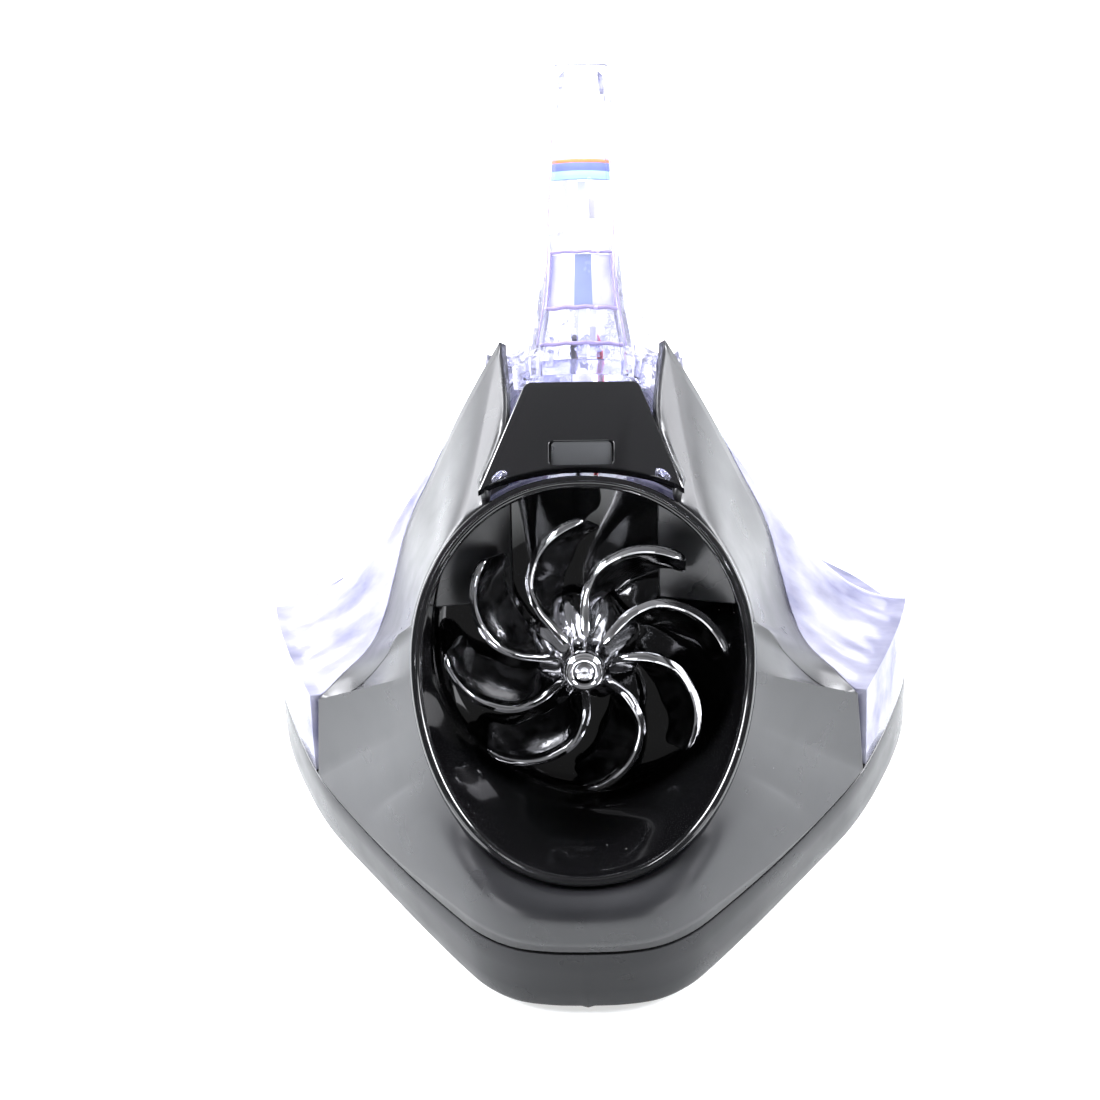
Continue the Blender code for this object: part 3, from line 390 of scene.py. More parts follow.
class Finish:
    """A node material round one Principled shader, listed in FINISHES."""

    def __init__(self, name, colour, metallic=0.0, roughness=0.4, **sockets):
        self.material = bpy.data.materials.new(name)
        self.material.use_nodes = True
        FINISHES[name] = self.material
        self.nodes = self.material.node_tree.nodes
        self.links = self.material.node_tree.links
        self.shader = self.nodes["Principled BSDF"]
        self.colour = (*colour, 1)
        self.shader.inputs["Base Color"].default_value = self.colour
        self.shader.inputs["Metallic"].default_value = metallic
        self.shader.inputs["Roughness"].default_value = roughness
        for socket, value in sockets.items():
            self.shader.inputs[socket.replace("_", " ")].default_value = value
        self.place = self.nodes.new("ShaderNodeTexCoord").outputs["Object"]

    def stretched(self, x, y, z):
        mapping = self.nodes.new("ShaderNodeMapping")
        mapping.inputs["Scale"].default_value = (x, y, z)
        self.links.new(self.place, mapping.inputs["Vector"])
        return mapping.outputs["Vector"]

    def noise(self, scale, detail=3.0, where=None):
        node = self.nodes.new("ShaderNodeTexNoise")
        node.inputs["Scale"].default_value = scale
        node.inputs["Detail"].default_value = detail
        self.links.new(where or self.place, node.inputs["Vector"])
        return node.outputs["Fac"]

    def spread(self, value, low, high, start=0.3, end=0.7):
        return map_range(self.material.node_tree, value, low, high, start, end)

    def rough(self, scale, low, high):
        self.links.new(self.spread(self.noise(scale), low, high), self.shader.inputs["Roughness"])

    def shade(self, value, other):
        """Mixes the base colour with another where value is 1."""
        mix = self.nodes.new("ShaderNodeMix")
        mix.data_type = 'RGBA'
        self.links.new(value, mix.inputs["Factor"])
        before = self.shader.inputs["Base Color"].links
        if before:
            self.links.new(before[0].from_socket, mix.inputs[6])
        else:
            mix.inputs[6].default_value = self.colour
        mix.inputs[7].default_value = (*other, 1)
        self.links.new(mix.outputs[2], self.shader.inputs["Base Color"])

    def mottle(self, scale, other, amount, where=None):
        self.shade(self.spread(self.noise(scale, 4.0, where), 0, amount), other)

    def specks(self, scale, size, other):
        """Scattered dust: small spots round the points of a random lattice."""
        cells = self.nodes.new("ShaderNodeTexVoronoi")
        cells.inputs["Scale"].default_value = scale
        self.links.new(self.place, cells.inputs["Vector"])
        near = self.spread(cells.outputs["Distance"], 1, 0, size * 0.5, size)
        chosen = self.spread(self.noise(scale * 0.37, 0.0), 0, 1, 0.62, 0.66)
        self.shade(multiply(self.material.node_tree, near, chosen), other)

    def bump(self, height, strength, distance):
        node = self.nodes.new("ShaderNodeBump")
        node.inputs["Strength"].default_value = strength
        node.inputs["Distance"].default_value = distance * MM
        self.links.new(height, node.inputs["Height"])
        before = self.shader.inputs["Normal"].links
        if before:
            self.links.new(before[0].from_socket, node.inputs["Normal"])
        self.links.new(node.outputs["Normal"], self.shader.inputs["Normal"])

    def lets_light_through(self, tint):
        """Lamps shine through this clear plastic instead of casting a hard shadow."""
        clear = self.nodes.new("ShaderNodeBsdfTransparent")
        clear.inputs["Color"].default_value = (*tint, 1)
        path = self.nodes.new("ShaderNodeLightPath")
        mix = self.nodes.new("ShaderNodeMixShader")
        self.links.new(path.outputs["Is Shadow Ray"], mix.inputs["Fac"])
        self.links.new(self.shader.outputs["BSDF"], mix.inputs[1])
        self.links.new(clear.outputs["BSDF"], mix.inputs[2])
        self.links.new(mix.outputs["Shader"], self.nodes["Material Output"].inputs["Surface"])


def plain_finish(name, colour, metallic, low, high, grain=1500, bump=0.0, **sockets):
    """A finish for an ordinary part: mottled colour, uneven roughness and a fine grain."""
    finish = Finish(name, colour, metallic, (low + high) / 2, **sockets)
    finish.rough(grain * 0.3, low, high)
    finish.mottle(grain * 0.12, tuple(c * 0.72 for c in colour), 0.5)
    if bump:
        finish.bump(finish.noise(grain), bump, 0.05)
    return finish


# Ordinary parts: name, colour, metallic, roughness from and to, grain, bump, other sockets
PLAIN_FINISHES = [
    ("tray_black", (0.011, 0.011, 0.0125), 0, 0.25, 0.36, 420, 0.1, {"IOR": 1.34}),
    # The near-black, barely reflecting finish below paints the shadow in the parting seam.
    ("seam_shadow_black", (0.002, 0.002, 0.002), 0, 0.8, 0.95, 900, 0, {"IOR": 1.1}),
    # Amber, blue and pale strips: painted refraction fringes at the step inside the clear fin.
    ("step_refraction_amber", (0.58, 0.24, 0.07), 0, 0.1, 0.3, 700, 0, {}),
    ("step_refraction_blue", (0.16, 0.20, 0.72), 0, 0.1, 0.3, 700, 0, {}),
    ("step_refraction_pale", (0.42, 0.66, 0.95), 0, 0.1, 0.3, 700, 0, {"Transmission_Weight": 0.3}),
    ("window_grey", (0.20, 0.24, 0.36), 0, 0.12, 0.3, 800, 0, {}),
    # Lilac lines: painted refraction along the edges and inner steps of the clear fin.
    ("lens_line_painted_refraction", (0.40, 0.34, 0.56), 0, 0.1, 0.3, 900, 0, {"Transmission_Weight": 0.4}),
    ("steel", (0.55, 0.55, 0.57), 1.0, 0.22, 0.42, 1800, 0.1, {}),
    ("zinc", (0.62, 0.63, 0.66), 1.0, 0.25, 0.45, 2400, 0.12, {}),
    ("brass", (0.74, 0.56, 0.24), 1.0, 0.2, 0.4, 1800, 0.08, {}),
    ("ferrite", (0.06, 0.06, 0.065), 0, 0.5, 0.75, 2600, 0.25, {}),
    ("white_nylon", (0.78, 0.78, 0.74), 0, 0.35, 0.55, 1200, 0.06, {}),
    ("dark_plastic", (0.03, 0.03, 0.032), 0, 0.4, 0.6, 1500, 0.12, {}),
    ("white_board", (0.80, 0.81, 0.80), 0, 0.3, 0.45, 900, 0.04, {}),
    ("led_epoxy", (0.86, 0.84, 0.70), 0, 0.08, 0.2, 900, 0, {"Transmission_Weight": 0.35}),
    ("capacitor_sleeve", (0.02, 0.035, 0.16), 0, 0.25, 0.4, 900, 0, {}),
    ("red_wire", (0.50, 0.02, 0.02), 0, 0.3, 0.5, 1200, 0.05, {}),
    ("black_wire", (0.015, 0.015, 0.016), 0, 0.3, 0.5, 1200, 0.05, {}),
    ("foam_tape", (0.62, 0.17, 0.05), 0, 0.7, 0.95, 1500, 0.6, {}),
]


def make_finishes():
    for name, colour, metallic, low, high, grain, bump, sockets in PLAIN_FINISHES:
        plain_finish(name, colour, metallic, low, high, grain, bump, **sockets)

    satin = Finish("satin_black", (0.010, 0.010, 0.0115), 0, 0.3, IOR=1.52)
    satin.rough(160, 0.26, 0.36)
    satin.mottle(45, (0.016, 0.016, 0.018), 0.7)
    satin.specks(420, 0.05, (0.16, 0.16, 0.17))
    satin.bump(satin.noise(2600, 2.0), 0.12, 0.02)

    gloss = Finish("gloss_black", (0.004, 0.004, 0.0045), 0, 0.06, Coat_Weight=0.3, Coat_Roughness=0.03)
    gloss.rough(90, 0.035, 0.10)
    gloss.specks(520, 0.07, (0.35, 0.35, 0.36))
    gloss.bump(gloss.noise(160, 2.0), 0.05, 0.05)

    soft = Finish("soft_black", (0.035, 0.036, 0.038), 0, 0.3)
    soft.rough(150, 0.24, 0.36)
    soft.mottle(80, (0.026, 0.027, 0.029), 0.8)
    soft.specks(520, 0.07, (0.3, 0.3, 0.31))
    soft.bump(soft.noise(300, 2.0), 0.05, 0.05)

    chrome = Finish("chrome", (0.86, 0.86, 0.88), 1.0, 0.06)
    chrome.rough(500, 0.05, 0.15)
    chrome.mottle(300, (0.66, 0.66, 0.70), 0.6)
    chrome.bump(chrome.noise(380, 3.0), 0.30, 0.14)
    chrome.bump(chrome.noise(3000, 2.0), 0.10, 0.02)

    clear = Finish("clear_plastic", (0.74, 0.74, 0.82), 0, 0.03, Transmission_Weight=0.96, IOR=1.09)
    clear.rough(180, 0.01, 0.04)
    clear.mottle(240, (0.54, 0.54, 0.70), 0.85)
    clear.bump(clear.noise(420, 3.0), 0.8, 0.2)
    clear.lets_light_through((0.97, 0.97, 0.99))

    wing = Finish("clear_plastic_wing", (0.30, 0.30, 0.36), 0, 0.05, Transmission_Weight=0.25, IOR=1.12)
    streaks = wing.stretched(0.4, 1.0, 0.6)
    wing.rough(180, 0.03, 0.12)
    wing.mottle(210, (0.12, 0.12, 0.18), 1.0, streaks)
    wing.bump(wing.noise(230, 3.0, streaks), 0.7, 0.3)
    wing.lets_light_through((0.96, 0.96, 0.98))

    lilac = Finish("clear_plastic_thick", (0.80, 0.81, 0.98), 0, 0.05, Transmission_Weight=0.9, IOR=1.3)
    lilac.rough(300, 0.02, 0.09)
    lilac.mottle(260, (0.64, 0.65, 0.93), 0.8)
    lilac.bump(lilac.noise(500, 2.0), 0.2, 0.1)
    lilac.lets_light_through((0.9, 0.9, 0.95))

    pearl = Finish("lens_backing", (0.24, 0.24, 0.30), 0, 0.25, IOR=1.3)
    streaks = pearl.stretched(0.35, 1.0, 0.6)
    pearl.rough(200, 0.18, 0.38)
    pearl.mottle(230, (0.11, 0.11, 0.18), 0.9, streaks)
    pearl.bump(pearl.noise(260, 3.0, streaks), 0.5, 0.3)

    glass = Finish("window_lilac", (0.34, 0.36, 0.78), 0, 0.12, Transmission_Weight=0.1, IOR=1.3)
    glass.rough(260, 0.06, 0.2)
    glass.mottle(180, (0.16, 0.18, 0.62), 0.9)
    # Pale, streaky patches over the lilac: painted highlights on the window.
    glass.mottle(110, (0.80, 0.78, 0.92), 1.0, glass.stretched(1.3, 0.7, 0.9))
    glass.bump(glass.noise(330, 2.0), 0.3, 0.2)

    copper = plain_finish("copper", (0.72, 0.34, 0.16), 1.0, 0.25, 0.4)
    winding = copper.stretched(1.0, 0.15, 0.15)
    copper.bump(copper.noise(5200, 1.0, winding), 0.5, 0.08)

    board = Finish("green_board", (0.012, 0.13, 0.05), 0, 0.35, Coat_Weight=0.3)
    board.rough(600, 0.28, 0.45)
    tracks = board.nodes.new("ShaderNodeTexBrick")
    tracks.inputs["Scale"].default_value = 320
    tracks.inputs["Mortar Size"].default_value = 0.09
    board.links.new(board.place, tracks.inputs["Vector"])
    board.shade(tracks.outputs["Fac"], (0.03, 0.24, 0.09))
    board.bump(tracks.outputs["Fac"], 0.3, 0.03)


NODE_FINISHES = {
    "steel": ("generator_can", "generator_shaft", "armature_core"),
    "zinc": ("tray_screw_1", "tray_screw_2", "tray_screw_3", "tray_screw_4", "cradle_screw_left",
             "cradle_screw_right", "board_screw_front", "board_screw_rear"),
    "brass": ("front_bush", "rear_bush", "terminal_left", "terminal_right"),
    "copper": ("armature_coil_1", "armature_coil_2", "armature_coil_3", "commutator"),
    "ferrite": ("magnet_upper", "magnet_lower", "brush_left", "brush_right"),
    "white_nylon": ("generator_end_bell",),
    "dark_plastic": ("generator_cradle", "rectifier", "controller_chip"),
    "green_board": ("main_board",),
    "white_board": ("fin_led_board", "side_led_board_left", "side_led_board_right"),
    "led_epoxy": ("fin_led_1", "fin_led_2", "fin_led_3", "side_led_left", "side_led_right", "fin_front_led"),
    "capacitor_sleeve": ("storage_capacitor",),
    "red_wire": ("generator_lead_red", "fin_lead_red"),
    "black_wire": ("generator_lead_black", "fin_lead_black", "side_lead_left", "side_lead_right"),
    "foam_tape": ("tape_pad",),
    "chrome": ("rotor_screw",),
}


def dress_cad_nodes():
    for finish, names in NODE_FINISHES.items():
        for name in names:
            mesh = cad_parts[name].data
            mesh.materials.clear()
            mesh.materials.append(FINISHES[finish])


# -------- stage

def look_camera():
    """The camera of the product picture: 38 degrees above, almost head on."""
    elevation, yaw, roll = math.radians(38), math.radians(2.7), math.radians(2.35)
    away = Vector((math.sin(yaw) * math.cos(elevation), -math.cos(yaw) * math.cos(elevation),
                   math.sin(elevation)))
    level = Vector((math.cos(yaw), math.sin(yaw), 0))
    lift = away.cross(level)
    right = math.cos(roll) * level - math.sin(roll) * lift
    up = math.cos(roll) * lift + math.sin(roll) * level
    data = bpy.data.cameras.new("camera")
    data.lens = 161.37
    data.sensor_width = 36
    data.clip_start = 0.01
    camera = bpy.data.objects.new("camera", data)
    bpy.context.scene.collection.objects.link(camera)
    spot = point(-5.04, 50, 43.63) + away * 0.7
    camera.matrix_world = Matrix.Translation(spot) @ Matrix((right, up, away)).transposed().to_4x4()
    bpy.context.scene.camera = camera


def softbox(name, spot, target, size, brightness, colour=(1, 1, 1), spread=180):
    data = bpy.data.lights.new(name, 'AREA')
    data.shape = 'RECTANGLE'
    data.size, data.size_y = size
    data.energy = brightness * math.pi * size[0] * size[1]
    data.color = colour
    data.spread = math.radians(spread)
    light = bpy.data.objects.new(name, data)
    bpy.context.scene.collection.objects.link(light)
    light.location = spot
    light.rotation_euler = (Vector(spot) - Vector(target)).to_track_quat('Z', 'Y').to_euler()


def build_stage():
    scene = bpy.context.scene
    scene.view_settings.view_transform = 'Standard'
    floor = add_object("studio_floor", bpy.data.meshes.new("studio_floor"))
    work = bmesh.new()
    bmesh.ops.create_grid(work, x_segments=1, y_segments=1, size=4.0)
    work.to_mesh(floor.data)
    work.free()
    paper = Finish("studio_paper", (0.42, 0.43, 0.43), 0, 0.9)
    paper.rough(4, 0.85, 0.95)
    paper.shader.inputs["Emission Color"].default_value = (0.98, 1, 1, 1)
    paper.shader.inputs["Emission Strength"].default_value = 0.60
    floor.data.materials.append(paper.material)

    world = bpy.data.worlds.new("studio")
    scene.world = world
    world.use_nodes = True
    tree = world.node_tree
    background = tree.nodes["Background"]
    where = tree.nodes.new("ShaderNodeTexCoord")
    split = tree.nodes.new("ShaderNodeSeparateXYZ")
    tree.links.new(where.outputs["Generated"], split.inputs["Vector"])
    behind = map_range(tree, split.outputs["Y"], 0.22, 0.95, -0.55, 0.25)
    overhead = map_range(tree, split.outputs["Z"], 1.0, 0.4, 0.35, 0.95)
    tree.links.new(multiply(tree, behind, overhead), background.inputs["Strength"])
    background.inputs["Color"].default_value = (0.97, 0.98, 1.0, 1)

    tint = (0.95, 0.96, 1.0)
    softbox("softbox_left", (-0.75, 0.20, 0.34), (0, 0, 0.04), (0.70, 0.56), 10.0, tint)
    softbox("softbox_right", (0.75, 0.20, 0.34), (0, 0, 0.04), (0.70, 0.56), 8.0, tint)
    softbox("backlight_left", (-0.50, 0.70, 0.60), (-0.17, 0.16, 0), (0.50, 0.40), 6.0, tint, 60)
    softbox("backlight_right", (0.50, 0.70, 0.60), (0.17, 0.16, 0), (0.50, 0.40), 5.5, tint, 60)
    softbox("floor_left", (-0.55, -0.05, 0.40), (-0.10, -0.03, 0), (0.30, 0.30), 4.2, tint, 50)
    softbox("floor_right", (0.55, -0.05, 0.40), (0.10, -0.03, 0), (0.30, 0.30), 3.2, tint, 50)
    softbox("card_left", (-0.50, -0.62, 0.12), (0, 0, 0.04), (0.36, 0.34), 4.0, tint)
    softbox("card_right", (0.50, -0.62, 0.12), (0, 0, 0.04), (0.36, 0.34), 3.4, tint)


# -------- cowl

def turn_of_outline(x):
    return linear_at([(0, 0), (10, 14), (14.4, 24), (18.4, 33), (26.3, 48), (33.6, 62), (39.2, 74)], x)


def station_lines():
    """Pairs of (rim angle, outer point): under the rim, then up the corner beside the wing."""
    low = PARTING_Z + 0.8 * GAP
    nose = [(turn_of_outline(p.x), Vector((p.x, p.y, low))) for p in OUTLINE if p.y < 38.0]
    (low_turn, foot), (high_turn, head) = CORNER_STATIONS
    foot, head = Vector((*foot[:2], low)), Vector(head)
    corner = [(low_turn + (high_turn - low_turn) * i / 8, foot.lerp(head, i / 8)) for i in range(9)]
    return nose + corner


def wing_edge(count):
    """The seam between cowl and wing, from the low corner to the horn's tip, with rim angles."""
    keys = [Vector((x, y, z)) for _, (x, y, z) in WING_STATIONS]
    path = smooth_path(keys, count)
    turns = []
    for p in path:
        best = min(range(len(keys) - 1), key=lambda i: distance_to(p, keys[i], keys[i + 1])[0])
        share = distance_to(p, keys[best], keys[best + 1])[1]
        turns.append(WING_STATIONS[best][0] * (1 - share) + WING_STATIONS[best + 1][0] * share)
    return list(zip(turns, path))


def distance_to(p, a, b):
    share = min(max((p - a).dot(b - a) / (b - a).length_squared, 0), 1)
    return (p - a.lerp(b, share)).length, share


def cowl_rim(turn):
    return rim_point(math.radians(turn), grow=-0.4, back=1.2)


def crease_point(turn):
    share = (turn - CREASE_TURNS[0]) / (CREASE_TURNS[1] - CREASE_TURNS[0])
    at = min(max(share, 0), 1) * (len(CREASE_LINE) - 1)
    i = min(int(at), len(CREASE_LINE) - 2)
    return CREASE_LINE[i].lerp(CREASE_LINE[i + 1], at - i)


CREASE_LINE = smooth_path(CREASE + [tuple(cowl_rim(101))], 40)


def flank_row(turn, outer, steps=20):
    """From the rim down to the outer edge: a tight shoulder and steep wall in front, nearly flat beside."""
    rim = cowl_rim(turn)
    square = linear_at([(0, 3.8), (22, 3.6), (33, 2.9), (48, 1.7), (60, 1.1), (70, 1.0), (101, 1.0)], turn)
    row = []
    for i in range(steps + 1):
        angle = 0.5 * math.pi * (1 - i / steps)
        climb = math.sin(angle) ** (2 / square)
        run = 1 - max(math.cos(angle), 0) ** (2 / square)
        row.append(Vector((outer.x + (rim.x - outer.x) * run, outer.y + (rim.y - outer.y) * run,
                           outer.z + (rim.z - outer.z) * climb)))
    return row


def horn_row(turn, outer, steps=14):
    """From the crease or the rim out to the wing seam, hollowed a little like a saddle."""
    inner = crease_point(turn) if turn < CREASE_TURNS[1] else cowl_rim(turn)
    row = []
    for i in range(steps + 1):
        t = i / steps
        p = inner.lerp(outer, t)
        hollow = linear_at([(86, 0.0), (104, 0.5), (125, 1.1), (138, 0.6), (147, 0.0)], turn)
        p.z -= hollow * math.sin(math.pi * t)
        row.append(p)
    return row


def build_cowl():
    flank = [flank_row(turn, outer) for turn, outer in station_lines()]
    for i in range(1, 25):
        turn = CREASE_TURNS[0] + (CREASE_TURNS[1] - CREASE_TURNS[0]) * i / 24
        flank.append(flank_row(turn, crease_point(turn)))
    horn = [horn_row(turn, outer) for turn, outer in wing_edge(61)]
    tip = smooth_path([p for _, p in HORN_STATIONS], 19)
    for i, p in enumerate(tip[1:], 1):
        horn.append(horn_row(138 + 9 * i / 18, p))
    points, faces = [], []
    for rows in (flank, horn):
        for side in (1, -1):
            start = len(points)
            points += [Vector((side * p.x, p.y, p.z)) for row in rows for p in row]
            quads = grid_faces(len(rows), len(rows[0]), start=start)
            faces += quads if side > 0 else [q[::-1] for q in quads]
    cowl = add_wall(raw_mesh("cowl_shell", points, faces), COWL_WALL)
    dress(cowl, "satin_black", "housing", ["front_cowl"], 28)


# -------- tray

def build_tray():
    top = PARTING_Z - GAP / 2
    rings = [full_ring(*ring) for ring in (
        (1.15, 1.5, 1.5), (1.15, 0.9, 1.5), (1.4, 0.45, 1.4), (2.1, 0.2, 1.3), (4.5, 0.12, 0.9),
        (8.0, 0.05, 0.4), (top - 0.45, 0.0), (top - 0.2, 0.08), (top - 0.1, 0.3), (top - 0.1, 1.75),
        (top + 1.0, 1.85), (top + 1.0, 2.3), (3.6, 2.5, 1.3), (3.1, 3.0, 1.3))]
    tray = loft("tray_shell", rings)
    for x, y in ((30.0, 34.0), (24.0, 84.0)):
        for side in (-1, 1):
            for radius, low, high in ((1.7, -1, 5), (3.0, -1, 2.6)):
                profile = [(0, high), (radius, high), (radius, low), (0, low)]
                carve(tray, lathe("cut", profile, upright(side * x, y), 32))
    dress(tray, "tray_black", "housing", ["base_tray"], 30)
    # Painted shadow: a thin, almost lightless black band just inside the parting line, darkening the seam
    # between tray and cowl.
    seal = loop_loft("parting_seam_shadow", [full_ring(top + z, inset) for z, inset in (
        (-0.12, 0.2), (0.36, 0.2), (0.36, 1.5), (-0.12, 1.5))])
    dress(seal, "seam_shadow_black", "housing", sharp=30)
    for x, y in ((-12, 74), (12, 74), (-12, 100), (12, 100)):
        post = lathe("board_post_%s_%d" % ("left" if x < 0 else "right", y),
                     [(1.2, 6.7), (2.2, 6.7), (2.4, 4.5), (3.0, 3.1), (1.2, 3.1)], upright(x, y), 32)
        dress(post, "satin_black", "housing")


def carve(obj, cutter):
    bpy.context.view_layer.update()
    step = obj.modifiers.new("cut", 'BOOLEAN')
    step.operation = 'DIFFERENCE'
    step.solver = 'EXACT'
    step.object = cutter
    bpy.context.view_layer.update()
    mesh = bpy.data.meshes.new_from_object(obj.evaluated_get(bpy.context.evaluated_depsgraph_get()))
    obj.modifiers.clear()
    obj.data = mesh
    bpy.data.objects.remove(cutter)


# -------- duct

# The lip from outside to inside, as (growth, depth) from the rim
LIP_PROFILE = [(-0.8, 3.4), (-0.6, 1.6), (-0.45, 0.9), (-0.42, 0.45), (-0.5, 0.12), (-0.68, -0.12),
               (-0.92, -0.2), (-1.15, -0.12), (-1.28, 0.1), (-1.33, 0.4), (-1.38, 0.72), (-1.52, 0.82),
               (-1.7, 0.8), (-1.85, 0.95), (-1.92, 1.25), (-1.96, 1.7), (-2.0, 2.2)]


def mouth_point(turn):
    """Where the duct's slope meets the turbine's cup: round below, following the rim above."""
    lip = rim_point(turn, grow=-2.0, back=2.2)
    away = lip - ROTOR_CENTRE
    across, above = away.dot(SIDEWAYS), away.dot(UPWARD)
    circle = (CUP_RADIUS * math.sin(turn), -CUP_RADIUS * math.cos(turn))
    share = ease((math.degrees(math.pi - abs(math.pi - turn)) - 88) / 26)
    wide = (across * 0.985, above * 0.985)
    return (circle[0] + (wide[0] - circle[0]) * share, circle[1] + (wide[1] - circle[1]) * share)


def build_duct():
    turns = whole_turn(192)
    rings = [[rim_point(t, grow, back) for t in turns] for grow, back in LIP_PROFILE]
    last = rings[-1]
    mouth = [about_axis(*mouth_point(t), 0.8) for t in turns]
    for share in (0.12, 0.25, 0.4, 0.55, 0.7, 0.85, 0.95):
        ring = []
        for t, a, b in zip(turns, last, mouth):
            p = a.lerp(b, share)
            sag = 1.1 * math.sin(math.pi * share) * max(math.cos(t), 0)
            ring.append(p - sag * UPWARD)
        rings.append(ring)
    rings.append(mouth)
    for grow, along in ((0.0, 0.1), (0.0, -4.0), (-0.15, -6.4), (-0.7, -7.6), (-1.7, CUP_BACK)):
        ring = []
        for t in turns:
            across, above = mouth_point(t)
            length = math.hypot(across, above)
            wide = length + grow
            ring.append(about_axis(across * wide / length, above * wide / length, along))
        rings.append(ring)
    for share in (0.6, 0.25):
        rings.append([about_axis(*(Vector(mouth_point(t)) * share), CUP_BACK) for t in turns])
    rings.append([polar(3.4, math.pi - t, CUP_BACK) for t in turns])
    duct = thick("duct_shell", rings, DUCT_WALL, closed=True)
    dress(duct, "gloss_black", "housing", ["intake_duct"], 32)
    for side, name in ((-1, "left"), (1, "right")):
        build_duct_cheek(side, name)


CHEEK_INNER = 10.3
CHEEK_LOW = 6.4


def build_duct_cheek(side, name):
    """Slanted panel beside the flat channel behind the turbine, cut off by a ledge below."""
    tops = []
    for degrees in range(96, 176, 2):
        across, above = mouth_point(math.radians(degrees))
        across, above = across * 0.995, above * 0.995
        if above > CHEEK_LOW and across > CHEEK_INNER:
            tops.append((across, above))
    tops.sort(key=lambda q: -q[0])
    outline = [(CHEEK_INNER, CHEEK_LOW), (tops[0][0], CHEEK_LOW)] + tops + [(CHEEK_INNER, tops[-1][1])]

    def front(across):
        return CUP_BACK + 0.75 + 0.36 * (across - CHEEK_INNER)

    face = [about_axis(side * a, h, front(a)) for a, h in outline]
    behind = [about_axis(side * a, h, CUP_BACK - 0.4) for a, h in outline]
    cheek = loft("duct_cheek_" + name, [behind, face])
    dress(cheek, "soft_black", "housing", sharp=20, bevel=0.25)


# -------- fascia

RECESS_UP = 2.45        # height of the recess's middle above the fascia's foot, along its slope


def fascia_frame():
    slope = (FASCIA_HEAD - FASCIA_FOOT).normalized()
    square = Vector((0, -slope.z, slope.y))
    return slope, square


def on_fascia(x, up, above=0.0):
    slope, square = fascia_frame()
    return FASCIA_FOOT + Vector((x, 0, 0)) + slope * up + square * above


def fascia_outline(inset=0.0):
    head = (FASCIA_HEAD - FASCIA_FOOT).length
    right = [(0, 0), (2.5, -0.1), (5, -0.4), (7, -0.78), (9, -1.25), (10.6, -1.75), (12, -2.3), (13.3, -3.0),
             (14.3, -3.6), (8.3, head - 0.9), (7.9, head - 0.25), (7.3, head)]
    loop = right + [(-x, y) for x, y in right[:0:-1]]
    if not inset:
        return loop
    middle = Vector((0, head * 0.45))
    return [tuple(Vector(p) + (middle - Vector(p)).normalized() * inset) for p in loop]


def build_fascia():
    rings = [[on_fascia(x, y, above) for x, y in fascia_outline(inset)]
             for inset, above in ((0.0, -1.5), (0.0, -0.35), (0.12, -0.1), (0.4, 0.0))]
    fascia = loft("fascia_shell", rings)
    slot_ring = rounded_box(9.1, 4.0, 0.7, 5)
    depth = [(0.2, 0.15), (0.0, -0.05), (-0.25, -0.75)]
    cut = loft("cut", [[on_fascia(x * (1 + grow / 4.7), RECESS_UP + y * (1 + grow / 2.1), above)
                        for x, y in slot_ring] for grow, above in depth])
    carve(fascia, cut)
    dress(fascia, "gloss_black", "housing", ["fascia_panel"], 25)
    step_rings = [[on_fascia(x * k, RECESS_UP + y * k, above + 0.14 * y) for x, y in slot_ring]
                  for k, above in ((0.93, -0.74), (0.93, -0.5), (0.88, -0.42))]
    plate = loft("fascia_recess_floor", step_rings)
    dress(plate, "soft_black", "housing", sharp=25)
    for side, name in ((-1, "left"), (1, "right")):
        path = [on_fascia(side * x, up, above)
                for x, up, above in ((10.6, -0.9, 0.15), (11.3, -1.3, 0.5), (12.1, -2.0, 0.15))]
        pin = tube("fascia_pin_" + name, smooth_path(path, 9), 0.42, 10)
        dress(pin, "clear_plastic_thick", "housing", sharp=0)


def rounded_box(width, height, radius, steps=4):
    outline = []
    for cx, cy, start in ((1, 1, 0), (-1, 1, 90), (-1, -1, 180), (1, -1, 270)):
        for i in range(steps + 1):
            angle = math.radians(start + 90 * i / steps)
            outline.append((cx * (width / 2 - radius) + radius * math.cos(angle),
                            cy * (height / 2 - radius) + radius * math.sin(angle)))
    return outline


# -------- clear wings and fin

WING_PATH = smooth_path([p for _, p in reversed(WING_STATIONS)], 121)


def feathers(x, y, z):
    """Height of the moulded ridges on a wing, in millimetres."""
    flow = y + 0.42 * x
    bend = noise.noise(Vector((x * 0.05, y * 0.05, 3.1))) * 3.0
    ridges = math.sin((flow + bend) * 1.15 + 1.5 * noise.noise(Vector((x * 0.11, y * 0.11, 7.7))))
    fine = noise.noise(Vector((flow * 0.55, x * 0.09 - y * 0.04, 1.3)))
    return 0.16 * ridges + 0.34 * fine


def wing_point(across, back, lift=0.0):
    """On the right wing: across runs from the fin seam to the outer edge, back from the cowl to the tail."""
    at = across * (len(WING_PATH) - 1)
    i = min(int(at), len(WING_PATH) - 2)
    front = WING_PATH[i].lerp(WING_PATH[i + 1], at - i)
    y0 = front.y + 0.45 + (0.3 if across > 0.999 else 0)
    y = y0 + (LENGTH - TAIL_INSET - y0) * back
    start_u = min(front.x / half_width(front.y), 1.0)
    end_u = seam_share(y) + (1 - seam_share(y)) * across
    u = start_u + (end_u - start_u) * min(back * 2.2, 1) if across < 0.999 else 1.0
    x = max(u * half_width(y), value_at(SEAM_KEYS, y) + GAP)
    z = skin_z(x / half_width(y), y)
    near = 1 - ease(back / 0.07)
    z = z + (min(z, front.z) - z) * near
    edge = (min(1.0, across / 0.05) * min(1.0, (1 - across) / 0.05)
            * ease(back / 0.05) * ease((1 - back) / 0.1))
    return Vector((x, y, z + edge * feathers(x, y, z) - lift))


